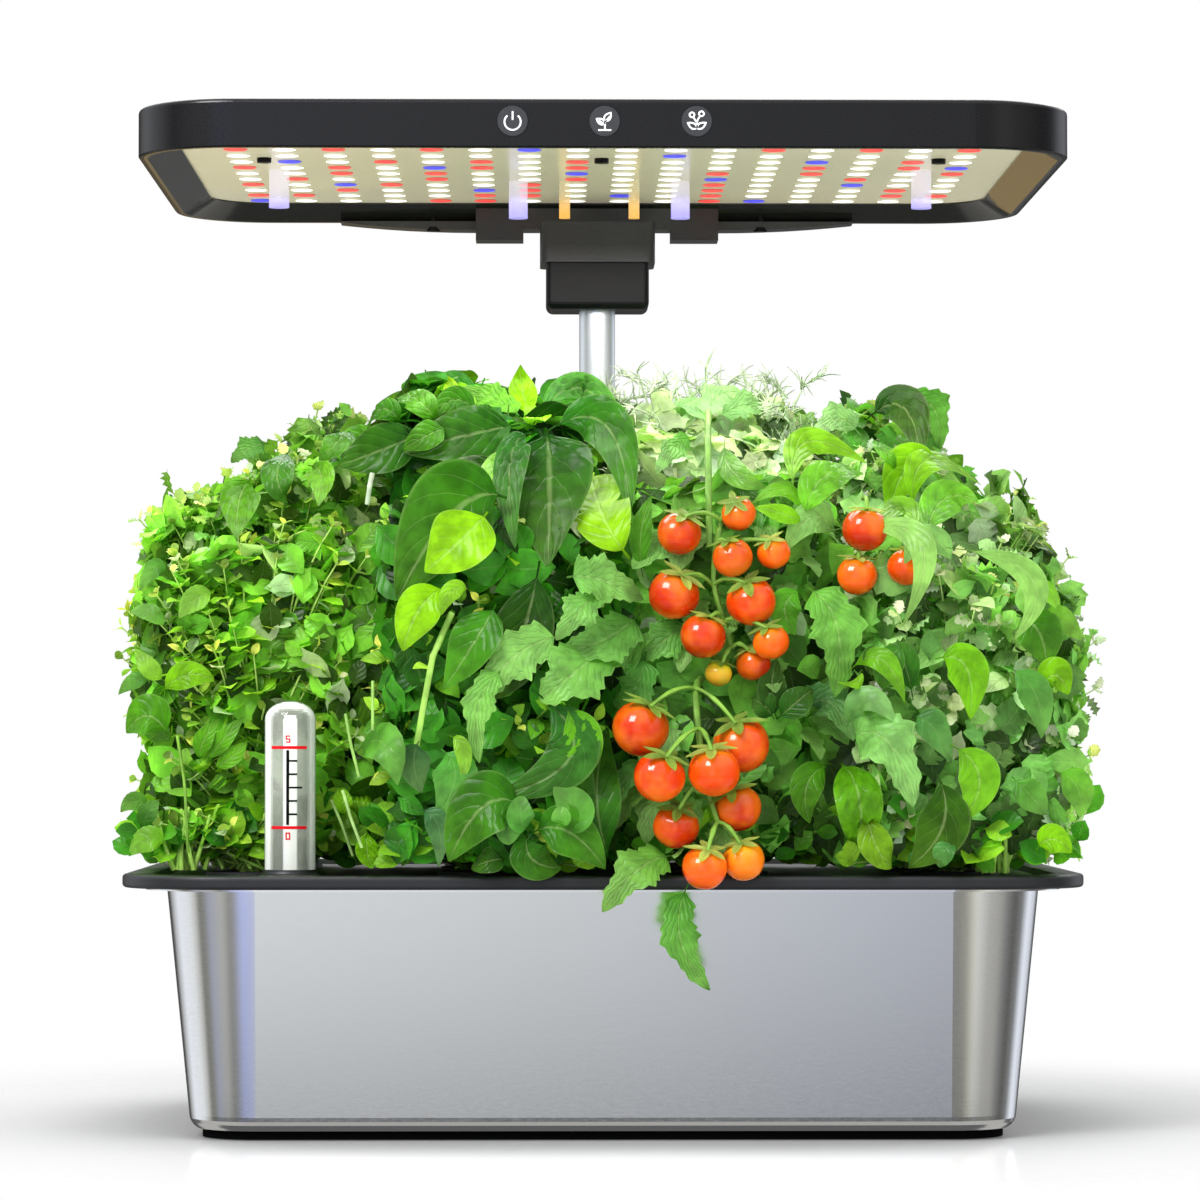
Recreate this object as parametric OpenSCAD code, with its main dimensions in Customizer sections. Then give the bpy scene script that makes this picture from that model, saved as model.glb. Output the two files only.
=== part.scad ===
// Countertop hydroponic garden: steel water tank, deck with twelve plant pods,
// level gauge, telescopic pole and a grow lamp. Millimetres, +Z up, front towards -Y.
// The origin is the centre of the mat's underside.

/* [Tank] */
// Width of the steel tank across its top
tank_w = 328; // [318:1:340]
// Depth of the steel tank across its top
tank_d = 230; // [224:1:240]
// Height of the steel tank
tank_h = 91; // [84:1:110]
// Thickness of the tank's steel
tank_wall = 1; // [0.8:0.1:1.4]
// How far each side draws in from the top to the foot
tank_draw = 8.5; // [5:0.5:10]
// Corner radius of the tank at its top
tank_corner_r = 35; // [30:1:40]
// Bend radius between the sides and the floor
tank_bend_r = 6; // [4:0.5:8]
// Width of the out-turned lip that carries the deck
lip_w = 8; // [5:0.5:9]
// Thickness of the rubber mat under the tank
mat_t = 2.5; // [2:0.5:5]
// How far the mat's edge stays inside the tank's foot
mat_inset = 5; // [1:0.5:8]

/* [Deck] */
// How far the deck reaches past the tank on every side
deck_over = 16; // [13:1:20]
// Thickness of the deck at its border
deck_t = 5; // [4:0.5:7]
// Corner radius of the deck
deck_corner_r = 42; // [38:1:48]
// Rounding of the deck's outer edge
deck_edge_r = 1.4; // [0.8:0.1:1.8]
// Width of the raised border
border_w = 11; // [8:0.5:13]
// Depth of the deck's floor below its border
floor_drop = 2; // [1:0.25:2.5]
// Depth of the skirt that centres the deck in the tank
skirt_h = 12; // [8:1:16]
// Thickness of the skirt
skirt_t = 1.5; // [1.2:0.1:2]
// Clearance between the skirt and the tank
skirt_gap = 0.8; // [0.5:0.1:1.2]

/* [Pods] */
// Distance of the outer pods from the tank's sides
pod_side = 32; // [30:0.5:36]
// Distance of the front pods from the tank's front
pod_front = 53; // [50:0.5:56]
// Distance of the back pods from the tank's back
pod_back = 41; // [39:0.5:44]
// Outer radius of a basket's cup at its top
basket_top_r = 14.75; // [13:0.25:16]
// Outer radius of a basket's cup at its foot
basket_foot_r = 12; // [10:0.25:12.5]
// Depth of a basket below the deck's floor
basket_h = 50; // [42:1:55]
// Wall of a basket
basket_wall = 1.2; // [1:0.1:1.6]
// Radius of a basket's flange
basket_flange_r = 19; // [17.5:0.5:20]
// Thickness of a basket's flange
basket_flange_t = 2; // [1.2:0.1:2.5]
// Clearance of a basket in the deck
basket_gap = 0.35; // [0.2:0.05:0.6]
// Width of the water slots in a basket
slot_w = 3; // [2:0.5:4]
// Height of a sponge
sponge_h = 34; // [25:1:38]
// Clearance of a sponge in its basket
sponge_gap = 0.15; // [0.1:0.05:0.3]

/* [Plants] */
// How far the leaves reach past the deck's sides
leaf_over = 3; // [0:0.5:6]
// How far the front leaves stay behind the deck's front edge
leaf_back = 3; // [1:0.5:6]
// Gap between neighbouring plants
crown_gap = 1; // [0.6:0.1:2]
// Rounding of a crown at its top
crown_tip_r = 20; // [12:1:22]
// Rounding of a crown at its base
crown_base_r = 11; // [8:1:12]
// Rounding of a crown's upright edges
crown_side_r = 22; // [12:1:25]
// Height of the crowns' underside above the deck
crown_lift = 3; // [2:0.5:5]
// How far a crown's base draws in
crown_tuck = 8; // [4:1:16]
// Radius of a plant's stem
stem_r = 3; // [2:0.25:4]
// Room in front of the tomato plant for its trusses
truss_room = 20.4; // [19.6:0.2:22]
// Radius of a truss's stalks
stalk_r = 1.2; // [0.9:0.1:1.5]

/* [Level gauge] */
// Distance of the gauge from the tank's left side
gauge_side = 47; // [44:0.5:50]
// Outer radius of the clear tube
gauge_r = 9.5; // [9:0.1:10]
// Wall of the clear tube
gauge_wall = 1.2; // [0.9:0.1:1.5]
// Height of the clear tube's top above the deck
gauge_h = 64.5; // [56:0.5:75]
// Height of the tube's dome
gauge_dome_h = 6.7; // [5:0.1:8]
// Radius of the collar's foot
collar_r = 14.3; // [13:0.1:15]
// Height of the collar
collar_h = 3.7; // [3:0.1:5]
// Bore radius of the float's sleeve
sleeve_bore_r = 7; // [6.6:0.1:7.4]
// Wall of the float's sleeve
sleeve_wall = 1; // [0.8:0.1:1.2]
// Clearance of the sleeve in the deck
sleeve_gap = 0.25; // [0.15:0.05:0.4]
// Gap between the sleeve and the tank's front wall
sleeve_wall_gap = 1.6; // [1:0.1:2.5]
// Gap between the sleeve's foot and the tank's floor
sleeve_foot_gap = 19.5; // [12:0.5:24]
// Clearance all round the float
float_gap = 0.7; // [0.4:0.05:1]
// Length of the float's body
float_h = 20; // [14:1:22]
// Radius of the float's stem
float_stem_r = 1.2; // [0.9:0.1:1.5]
// Radius of the yellow level mark
mark_r = 3.4; // [2.5:0.1:4.5]
// Thickness of the level mark
mark_t = 0.9; // [0.6:0.1:1.4]
// Lowest level above the deck
level_low = 17.2; // [15:0.1:19]
// Level at rest above the deck
level_rest = 37; // [30:0.5:40]

/* [Pole] */
// Outer radius of the fixed tube
tube_r = 9.5; // [9:0.1:10]
// Wall of the fixed tube
tube_wall = 1.2; // [1:0.1:1.3]
// Outer radius of the sliding pole
pole_r = 7.5; // [6.8:0.1:7.6]
// Wall of the sliding pole
pole_wall = 1.2; // [0.8:0.1:1.5]
// Running clearance on radius of the sliding pole
slide_gap = 0.05; // [0.03:0.01:0.08]
// How far the lamp can be raised
lift_up = 90; // [70:1:95]
// How far the lamp can be lowered over full-grown plants
lift_down = 45; // [35:1:48]
// Distance of the pole's socket from the deck's back edge
socket_edge = 3.5; // [3:0.5:5]
// Radius of the socket's flange
socket_r = 17.5; // [17:0.5:18]
// Thickness of the socket's flange
socket_flange_t = 2.5; // [2:0.5:4]
// Wall of the socket round the tube
socket_wall = 3.5; // [2.5:0.5:4]
// Height of the socket
socket_h = 19.5; // [17:0.5:24]
// Wall of the friction ferrule
ferrule_wall = 2; // [1.5:0.1:2.5]
// Height of the friction ferrule
ferrule_h = 18; // [14:1:22]

/* [Power inlet] */
// Radius of the inlet's bore
inlet_bore_r = 2.85; // [2.7:0.05:3]
// Depth of the inlet's bore
inlet_depth = 9; // [8:0.25:9.5]
// Outer radius of the inlet
inlet_r = 4.5; // [4:0.1:5]

/* [Lamp head] */
// Width of the pole head
head_w = 43; // [38:0.5:46]
// Depth of the pole head
head_d = 28; // [26:0.5:30]
// Height of the pole head
head_h = 19.5; // [17:0.5:24]
// Edge rounding of the pole head
head_edge_r = 3; // [2:0.25:4]
// How far the spigot on the pole head reaches into the bracket
spigot_h = 10; // [8:0.5:12]
// Clearance of the spigot in the bracket
spigot_gap = 0.3; // [0.2:0.05:0.5]
// How far the bracket's collar stands out past the pole head
collar_over = 2.5; // [1:0.5:4]
// Height of the bracket's collar
bracket_collar_h = 15.8; // [14:0.2:20]
// Width of the bracket's wings
wing_w = 216; // [180:2:230]
// Depth of the bracket's wings
wing_d = 12; // [10:0.5:13]
// Height of the wings where they meet the lugs
wing_h = 3.7; // [3:0.1:5]
// Width of the bracket's block
block_w = 102; // [96:1:110]
// Height of the block above the lamp's lower edge
block_h = 5; // [4:0.25:5.5]
// Height of the lugs under the wings
lug_h = 4.6; // [3:0.2:6]
// Width of a lug
lug_w = 20; // [16:0.5:24]

/* [Lamp] */
// Width of the lamp
lamp_w = 350; // [340:1:360]
// Depth of the lamp
lamp_d = 250; // [244:1:256]
// Thickness of the lamp
lamp_t = 18; // [17.5:0.5:20]
// Corner radius of the lamp
lamp_corner_r = 38; // [34:1:42]
// Wall of the lamp's housing
lamp_wall = 2; // [1.6:0.1:2.4]
// Height of the lamp's lower edge above the deck at rest
lamp_gap = 268.5; // [258:0.5:290]
// How far the lamp's back edge stands behind the pole's axis
lamp_behind = 15; // [13:0.5:17]
// Height of the bezel
bezel_h = 7; // [6.6:0.1:7.4]
// Width of the bezel
bezel_w = 12.5; // [11:0.25:14]
// Thickness of the light board
board_t = 1.6; // [1.2:0.1:2]

/* [Lights] */
// Distance of the outer lights from the lamp's sides
led_side = 34.75; // [33:0.25:38]
// Distance of the outer lights from the lamp's front and back
led_front = 23.8; // [22:0.2:26]
// Radius of a light
led_r = 4.5; // [3.5:0.1:4.6]
// Height of a light
led_h = 0.4; // [0.3:0.1:1.2]
// Length of the clear posts under the board
post_h = 15; // [12:0.5:17]
// Radius of the posts at the ends
end_post_r = 4; // [3.5:0.1:4.2]
// Radius of the violet posts
violet_post_r = 3.8; // [3.2:0.1:4]
// Radius of the amber posts
amber_post_r = 2.2; // [1.8:0.1:2.6]

/* [Buttons] */
// Radius of a button
button_r = 5.75; // [5:0.05:5.85]
// Distance between buttons
button_pitch = 34; // [28:0.5:40]
// Travel of a button
button_travel = 0.6; // [0.4:0.05:0.8]
// How far a button stands out of the lamp's front
button_proud = 0.4; // [0.2:0.05:0.8]
// Clearance round a button
button_gap = 0.15; // [0.1:0.05:0.2]

/* [Pump] */
// Width of the pump
pump_w = 40; // [36:1:42]
// Depth of the pump
pump_d = 34; // [30:1:36]
// Height of the pump's casing
pump_h = 24; // [22:1:26]
// Thickness of the pump's strainer
strainer_t = 2; // [1.5:0.25:3]
// Gap between the strainer and the tank's floor
pump_foot_gap = 5; // [3:0.5:7]
// Outer radius of the riser tube
riser_r = 4; // [3.5:0.1:4.5]
// Wall of the riser tube
riser_wall = 1.4; // [1:0.1:1.5]
// Radius of the impeller
impeller_r = 11; // [9:0.25:11.5]

/* [Hidden] */
$fn = 64;
pod_cols = 4;
pod_rows = 3;
pods = [0 : pod_cols * pod_rows - 1];
touch = 0.01;
cut = 1;

// Heights, from the mat up
tank_z0 = mat_t;
tank_z1 = tank_z0 + tank_h;
deck_z1 = tank_z1 + deck_t;
floor_z = deck_z1 - floor_drop;
lamp_z0 = deck_z1 + lamp_gap;
lamp_z1 = lamp_z0 + lamp_t;
board_z = lamp_z0 + bezel_h;
board_top = board_z + board_t;

// Plan sizes of tank and deck: corner centres and radii
tank_cx = tank_w / 2 - tank_corner_r;
tank_cy = tank_d / 2 - tank_corner_r;
tank_foot_r = tank_corner_r - tank_draw;
deck_w = tank_w + 2 * deck_over;
deck_d = tank_d + 2 * deck_over;
deck_cx = deck_w / 2 - deck_corner_r;
deck_cy = deck_d / 2 - deck_corner_r;
skirt_z0 = tank_z1 - skirt_h;
skirt_r = tank_inside_r(skirt_z0) - skirt_gap;

// Pods and sponges
pod_pitch_x = (tank_w - 2 * pod_side) / (pod_cols - 1);
pod_pitch_y = (tank_d - pod_front - pod_back) / (pod_rows - 1);
pod_y0 = pod_front - tank_d / 2;
basket_z0 = floor_z - basket_h;
basket_z1 = floor_z + basket_flange_t;
slot_z0 = basket_z0 + 4;
slot_h = basket_h - 22;

// Level gauge
gauge_x = tank_w / 2 - gauge_side;
gauge_z1 = deck_z1 + gauge_h;
sleeve_r = sleeve_bore_r + sleeve_wall;
sleeve_z0 = tank_z0 + tank_wall + sleeve_foot_gap;
gauge_y = tank_cy + tank_inside_r(sleeve_z0) - sleeve_r - sleeve_wall_gap;
tube_seat_z = floor_z + 1.5;
sleeve_floor_t = 1.5;
float_rest_gap = 0.8;
float_z0 = sleeve_z0 + sleeve_floor_t + float_rest_gap + level_rest - level_low;

// Pole and lamp head
pole_y = deck_d / 2 - socket_edge - socket_r;
tube_z0 = deck_z1 + socket_flange_t;
tube_bore_r = tube_r - tube_wall;
bracket_z0 = lamp_z0 - wing_h - bracket_collar_h;
head_z0 = bracket_z0 - head_h;
ferrule_clear = 15;
ferrule_z1 = head_z0 - lift_down - ferrule_clear;
ferrule_z0 = ferrule_z1 - ferrule_h;
tube_z1 = ferrule_z1 - 6;
pole_foot_gap = 3;
pole_z0 = tube_z0 + lift_down + pole_foot_gap;
pole_z1 = bracket_z0 - 2.5;
guide_stop_gap = 0.5;
guide_z1 = tube_z1 - lift_up - guide_stop_gap;
spigot_w = 30;
spigot_d = 18;
cable_r = 5;

// Lamp
lamp_y1 = pole_y + lamp_behind;
lamp_y0 = lamp_y1 - lamp_d;
lamp_y = (lamp_y0 + lamp_y1) / 2;
lamp_cx = lamp_w / 2 - lamp_corner_r;
lamp_cy = lamp_d / 2 - lamp_corner_r;
lamp_inside_r = lamp_corner_r - lamp_wall;
bezel_in_r = lamp_inside_r - bezel_w;
board_r = lamp_inside_r - 8;
lamp_roof_z = lamp_z1 - lamp_wall;
block_y0 = lamp_y1 - 12;
wing_y0 = lamp_y1 - 8;
wing_screw_x = 69;
wing_screw_y = lamp_y1 - 5.5;
block_gap = 0.2;
led_cols = 16;
led_rows = 12;
led_pitch_x = (lamp_w - 2 * led_side) / (led_cols - 1);
led_pitch_y = (lamp_d - 2 * led_front) / (led_rows - 1);
led_z0 = board_z - led_h;

// Buttons
button_flange_r = button_r + 0.4;
button_flange_t = 1;
button_roof_gap = 0.25;
button_z = lamp_roof_z - button_flange_r - button_roof_gap;
button_back_y = lamp_y0 + lamp_wall + button_flange_t;
switch_gap = 0.05;
switch_y = button_back_y + button_travel + switch_gap;
switch_t = 1.8;
button_board_y = switch_y + switch_t;
button_board_t = 1.2;
button_board_w = 2 * button_pitch + 22;

// Power inlet, at the back of the pole's socket
inlet_z = deck_z1 + 7;
inlet_y1 = deck_d / 2 - 1;
inlet_floor_t = 0.6;
inlet_y0 = inlet_y1 - inlet_depth - inlet_floor_t;

// Pump, between four baskets
pump_x = pod_pitch_x;
pump_y = pod_y0 + 1.5 * pod_pitch_y;
pump_z0 = tank_z0 + tank_wall + pump_foot_gap + strainer_t;
pump_z1 = pump_z0 + pump_h;
chamber_r = impeller_r + 1.5;
chamber_h = 12;
riser_x = pump_x + 8;
riser_seat = 3;
riser_boss_wall = 1.5;
riser_boss_h = 6;

// Screws
screw_r = 1.5;
screw_head_r = 2.8;
screw_head_h = 1.8;
socket_screw_x = 13;
socket_screw_y = pole_y - 6;
board_screw_x = 7 * led_pitch_x;
board_screw_y = lamp_y - 2 * led_pitch_y;
boss_r = 3.5;

// Top of each crown above the deck: its left side, its right side
crown_tops = [
    [117, 137], [142, 137], [147, 151], [127, 107],
    [142, 164], [182, 177], [172, 170], [164, 137],
    [152, 187], [199, 190], [186, 194], [190, 152]
];

// Trusses: fruit as [x, y, z, diameter, stalk point], then the stalk's points,
// from the pod's column, the deck's front edge and the deck's top
crown_seat = 0.3;
truss_y = truss_room - crown_seat;
upper_fruit = [
    [-16.5, 10, 126, 16.5, 1], [5.5, 12, 133.5, 13, 1], [3, 7, 117, 15, 2],
    [18.5, 11, 119, 12.5, 2], [-18.5, 9, 103.5, 19, 3], [10, 8, 101, 18.5, 3],
    [-8, 4, 88, 17, 4], [17, 3, 86, 13.5, 4], [-2, 10, 74.5, 10, 5], [11, 13, 78, 13, 5]
];
upper_stalk = [
    [2, truss_y, 129], [-1, 12, 131], [-3, 13, 120], [-4, 13, 107], [0, 13, 94], [3, 13, 84]
];
lower_fruit = [
    [-31, -5, 54, 21, 1], [6, 1, 48, 21, 1], [-24.5, -15, 36.5, 19, 2], [-4.5, -14, 38.5, 19, 2],
    [-18, -3, 18.5, 17, 3], [4.5, -2, 25, 17.5, 3], [-8, -13, 3.5, 16.5, 4], [6.5, -6, 6, 15.5, 4]
];
lower_stalk = [
    [-8, truss_y, 73], [-11, 6, 69], [-10, -4, 54], [-8, -5, 36], [-3, -7, 20]
];

function tank_inside_r(z) =
    tank_foot_r - tank_wall + tank_draw * (z - tank_z0 - tank_bend_r) / (tank_h - tank_bend_r);

function arc(x, y, r, from, to, steps = 6) =
    [for (i = [0 : steps]) let (a = from + (to - from) * i / steps) [x + r * cos(a), y + r * sin(a)]];

function pod_x(i) = (i % pod_cols - (pod_cols - 1) / 2) * pod_pitch_x;
function pod_y(i) = pod_y0 + floor(i / pod_cols) * pod_pitch_y;
function led_x(col) = (col - (led_cols - 1) / 2) * led_pitch_x;
function led_y(row) = lamp_y + (row - (led_rows - 1) / 2) * led_pitch_y;

// 0 white, 1 red, 2 blue
function led_kind(col, row) =
    (5 * col + 7 * row) % 11 == 0 ? 2 : (3 * col + 5 * row + floor(col * row / 3)) % 8 < 3 ? 1 : 0;

// Sweeps a profile round a rectangle of half sizes cx and cy, with round corners:
// the profile's x is the distance from the rectangle, its y the height
module ring(cx, cy) {
    for (corner = [[1, 1, 0], [-1, 1, 90], [-1, -1, 180], [1, -1, 270]])
        translate([corner[0] * cx, corner[1] * cy, 0]) rotate([0, 0, corner[2]])
            rotate_extrude(angle = 90) children();
    for (side = [0, 180]) rotate([0, 0, side]) {
        translate([cx, cy, 0]) rotate([90, 0, 0]) linear_extrude(2 * cy) children();
        translate([-cx, cy, 0]) rotate([90, 0, 90]) linear_extrude(2 * cx) children();
    }
}

// Upright slab with round corners
module slab(cx, cy, r, z0, z1) {
    translate([0, 0, z0]) linear_extrude(z1 - z0) {
        square([2 * (cx + r), 2 * cy], center = true);
        square([2 * cx, 2 * (cy + r)], center = true);
        for (sx = [-1, 1], sy = [-1, 1]) translate([sx * cx, sy * cy]) circle(r);
    }
}

// Round bar between two points
module bar(from, to, r) {
    way = to - from;
    translate(from) rotate([0, acos(way[2] / norm(way)), atan2(way[1], way[0])])
        cylinder(r = r, h = norm(way), $fn = 24);
}

// ---- Tank ----

module base_mat() {
    color("#1c1c1d") slab(tank_cx, tank_cy, tank_foot_r - mat_inset, 0, mat_t);
}

module tank_shell() {
    bend_x = tank_foot_r - tank_bend_r;
    bend_z = tank_z0 + tank_bend_r;
    color("silver") {
        ring(tank_cx, tank_cy) polygon(concat(
            [[0, tank_z0]],
            arc(bend_x, bend_z, tank_bend_r, -90, 0),
            [[tank_corner_r, tank_z1 - tank_wall],
             [tank_corner_r + lip_w, tank_z1 - tank_wall],
             [tank_corner_r + lip_w, tank_z1],
             [tank_corner_r - tank_wall, tank_z1]],
            arc(bend_x, bend_z, tank_bend_r - tank_wall, 0, -90),
            [[0, tank_z0 + tank_wall]]));
        translate([-tank_cx, -tank_cy, tank_z0]) cube([2 * tank_cx, 2 * tank_cy, tank_wall]);
    }
}

// ---- Deck ----

module deck() {
    edge_x = deck_corner_r - deck_edge_r;
    color("#2b2c2f") difference() {
        union() {
            ring(deck_cx, deck_cy) polygon(concat(
                [[0, tank_z1]],
                arc(edge_x, tank_z1 + deck_edge_r, deck_edge_r, -90, 0, 4),
                arc(edge_x, deck_z1 - deck_edge_r, deck_edge_r, 0, 90, 4),
                [[deck_corner_r - border_w, deck_z1],
                 [deck_corner_r - border_w - floor_drop, floor_z],
                 [0, floor_z]]));
            translate([-deck_cx, -deck_cy, tank_z1]) cube([2 * deck_cx, 2 * deck_cy, floor_z - tank_z1]);
            ring(tank_cx, tank_cy) translate([skirt_r - skirt_t, skirt_z0])
                square([skirt_t, skirt_h + cut]);
            translate([0, pole_y, tank_z1]) cylinder(r = socket_r, h = deck_t);
            translate([riser_x, pump_y, tank_z1 - riser_boss_h])
                cylinder(r = riser_r + riser_boss_wall, h = riser_boss_h + cut);
        }
        for (i = pods) translate([pod_x(i), pod_y(i), tank_z1 - cut])
            cylinder(r = basket_top_r + basket_gap, h = deck_t + 2 * cut);
        translate([-gauge_x, -gauge_y, tank_z1 - cut])
            cylinder(r = sleeve_r + sleeve_gap, h = deck_t + 2 * cut);
        translate([0, pole_y, tank_z1 - cut]) cylinder(r = cable_r, h = deck_t + 2 * cut);
        translate([riser_x, pump_y, tank_z1 - riser_boss_h - cut])
            cylinder(r = riser_r, h = riser_boss_h + cut);
        socket_screw_places() translate([0, 0, tank_z1 - cut])
            cylinder(r = screw_r, h = deck_t + 2 * cut);
    }
}

module socket_screw_places() {
    for (side = [-1, 1]) translate([side * socket_screw_x, socket_screw_y, 0]) children();
}

module pole_socket() {
    block_w = 2 * inlet_r + 6;
    block_h = inlet_z + inlet_r + 2 - deck_z1;
    color("#2b2c2f") difference() {
        union() {
            translate([0, pole_y, deck_z1]) {
                cylinder(r = socket_r, h = socket_flange_t);
                cylinder(r = tube_r + socket_wall, h = socket_h);
            }
            translate([-block_w / 2, pole_y, deck_z1]) cube([block_w, inlet_y1 - pole_y, block_h]);
        }
        translate([0, pole_y, tube_z0]) cylinder(r = tube_r, h = socket_h);
        translate([0, pole_y, deck_z1 - cut]) cylinder(r = cable_r, h = socket_h);
        translate([0, inlet_y0, inlet_z]) rotate([-90, 0, 0]) cylinder(r = inlet_r, h = inlet_depth + 2);
        socket_screw_places() translate([0, 0, deck_z1 - cut])
            cylinder(r = screw_r, h = socket_flange_t + cut);
    }
}

module socket_screws() {
    color("dimgray") socket_screw_places() {
        translate([0, 0, tank_z1 - screw_head_h]) cylinder(r = screw_head_r, h = screw_head_h);
        translate([0, 0, tank_z1 - touch])
            cylinder(r = screw_r, h = deck_t + socket_flange_t + touch);
    }
}

module dc_inlet() {
    color("#151515") translate([0, inlet_y0, inlet_z]) rotate([-90, 0, 0]) difference() {
        cylinder(r = inlet_r, h = inlet_y1 - inlet_y0);
        translate([0, 0, inlet_floor_t]) cylinder(r = inlet_bore_r, h = inlet_depth + cut);
    }
}

// ---- Pods ----

module basket(i) {
    color("#303133") translate([pod_x(i), pod_y(i), 0]) difference() {
        rotate_extrude() polygon([
            [0, basket_z0], [basket_foot_r, basket_z0], [basket_top_r, floor_z],
            [basket_flange_r, floor_z], [basket_flange_r, basket_z1],
            [basket_top_r - basket_wall, basket_z1],
            [basket_foot_r - basket_wall, basket_z0 + basket_wall], [0, basket_z0 + basket_wall]]);
        for (turn = [0, 90]) rotate([0, 0, turn])
            translate([-basket_top_r - cut, -slot_w / 2, slot_z0])
                cube([2 * (basket_top_r + cut), slot_w, slot_h]);
    }
}

module sponges() {
    in_top_r = basket_top_r - basket_wall - sponge_gap;
    slope = (basket_top_r - basket_foot_r) / (basket_z1 - basket_z0 - basket_wall);
    color("#3a3d38") for (i = pods) translate([pod_x(i), pod_y(i), basket_z1 - sponge_h])
        cylinder(r1 = in_top_r - slope * sponge_h, r2 = in_top_r, h = sponge_h);
}

// ---- Plants ----

// Edges of the plants' cells: sides by column, then front and back
function crown_x(edge) =
    edge == 0 ? -deck_w / 2 - leaf_over + crown_gap / 2
    : edge == pod_cols ? deck_w / 2 + leaf_over - crown_gap / 2
    : (edge - pod_cols / 2) * pod_pitch_x;

function crown_front(i) =
    i == 0 ? -gauge_y + collar_r + crown_gap
    : i == 2 ? -deck_d / 2 + truss_room
    : i < pod_cols ? -deck_d / 2 + leaf_back
    : pod_y(i) - pod_pitch_y / 2 + crown_gap / 2;

function crown_back(i) =
    i < pod_cols * (pod_rows - 1) ? pod_y(i) + pod_pitch_y / 2 - crown_gap / 2
    : i % pod_cols == 0 || i % pod_cols == pod_cols - 1 ? deck_d / 2 - border_w
    : pole_y - head_d / 2 - 2 * crown_gap;

// Upright outline with round corners: the foot's ends, the tip's ends, the heights at both ends
module crown_outline(foot_ends, tip_ends, foot_z, tops) {
    foot = crown_base_r;
    tip = crown_tip_r;
    polygon(concat(
        arc(foot_ends[0] + foot, foot_z + foot, foot, 180, 270, 4),
        arc(foot_ends[1] - foot, foot_z + foot, foot, 270, 360, 4),
        arc(tip_ends[1] - tip, tops[1] - tip, tip, 0, 90, 5),
        arc(tip_ends[0] + tip, tops[0] - tip, tip, 90, 180, 5)));
}

// Plan with round corners
module crown_plan(left, right, front, back) {
    r = crown_side_r;
    polygon(concat(
        arc(left + r, front + r, r, 180, 270, 5),
        arc(right - r, front + r, r, 270, 360, 5),
        arc(right - r, back - r, r, 0, 90, 5),
        arc(left + r, back - r, r, 90, 180, 5)));
}

module plant(i) {
    col = i % pod_cols;
    left = crown_x(col) + crown_gap / 2;
    right = crown_x(col + 1) - crown_gap / 2;
    front = crown_front(i);
    back = crown_back(i);
    front_tuck = i < pod_cols ? 0 : crown_tuck;
    foot_z = deck_z1 + crown_lift;
    tops = [for (top = crown_tops[i]) deck_z1 + top];
    side_top = max(tops) + crown_gap;
    over = crown_gap / 4;
    color("forestgreen") {
        intersection() {
            translate([0, back, 0]) rotate([90, 0, 0]) linear_extrude(back - front)
                crown_outline([left + crown_tuck, right - crown_tuck], [left, right], foot_z, tops);
            translate([left, 0, 0]) rotate([90, 0, 90]) linear_extrude(right - left)
                crown_outline([front + front_tuck, back - crown_tuck], [front, back],
                    foot_z - crown_gap / 2, [side_top, side_top]);
            translate([0, 0, foot_z - crown_gap]) linear_extrude(side_top + 2 * crown_gap - foot_z)
                crown_plan(left - over, right + over, front - over, back + over);
        }
        translate([pod_x(i), pod_y(i), basket_z1]) cylinder(r = stem_r, h = foot_z + stem_r - basket_z1);
    }
}

module truss(stalk, fruit) {
    translate([pod_x(2), -deck_d / 2, deck_z1]) {
        for (k = [1 : len(stalk) - 1]) {
            bar(stalk[k - 1], stalk[k], stalk_r);
            translate(stalk[k]) sphere(stalk_r * 1.1, $fn = 24);
        }
        for (f = fruit) {
            middle = [f[0], f[1], f[2]];
            bar(stalk[f[4]], middle + [0, 0, f[3] * 0.4], stalk_r * 0.7);
            translate(middle) sphere(f[3] / 2, $fn = 32);
        }
    }
}

module upper_truss() {
    color("orangered") truss(upper_stalk, upper_fruit);
}

module lower_truss() {
    color("red") truss(lower_stalk, lower_fruit);
}

// ---- Pump ----

module pump_body() {
    color("#2a2a2c") difference() {
        union() {
            difference() {
                translate([pump_x, pump_y, 0])
                    slab(pump_w / 2 - 4, pump_d / 2 - 4, 4, pump_z0, pump_z1);
                translate([pump_x, pump_y, pump_z0 - cut]) cylinder(r = chamber_r, h = chamber_h + cut);
            }
            translate([pump_x, pump_y, pump_z0 + 1]) cylinder(r = 1, h = chamber_h, $fn = 24);
        }
        translate([riser_x, pump_y, pump_z0 + 6]) cylinder(r = riser_r - riser_wall, h = pump_h);
        translate([riser_x, pump_y, pump_z1 - riser_seat]) cylinder(r = riser_r, h = pump_h);
    }
}

module pump_strainer() {
    slots = [-2 : 2];
    color("#3a3a3c") difference() {
        translate([pump_x, pump_y, 0])
            slab(pump_w / 2 - 4, pump_d / 2 - 4, 4, pump_z0 - strainer_t, pump_z0);
        for (k = slots) translate([pump_x + 4.5 * k - 1, pump_y - 8, pump_z0 - strainer_t - cut])
            cube([2, 16, strainer_t + 2 * cut]);
    }
}

module pump_riser() {
    z0 = pump_z1 - riser_seat;
    color("#d8dcdc") translate([riser_x, pump_y, z0]) difference() {
        cylinder(r = riser_r, h = tank_z1 - z0);
        translate([0, 0, -cut]) cylinder(r = riser_r - riser_wall, h = tank_z1 - z0 + 2 * cut);
    }
}

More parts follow.
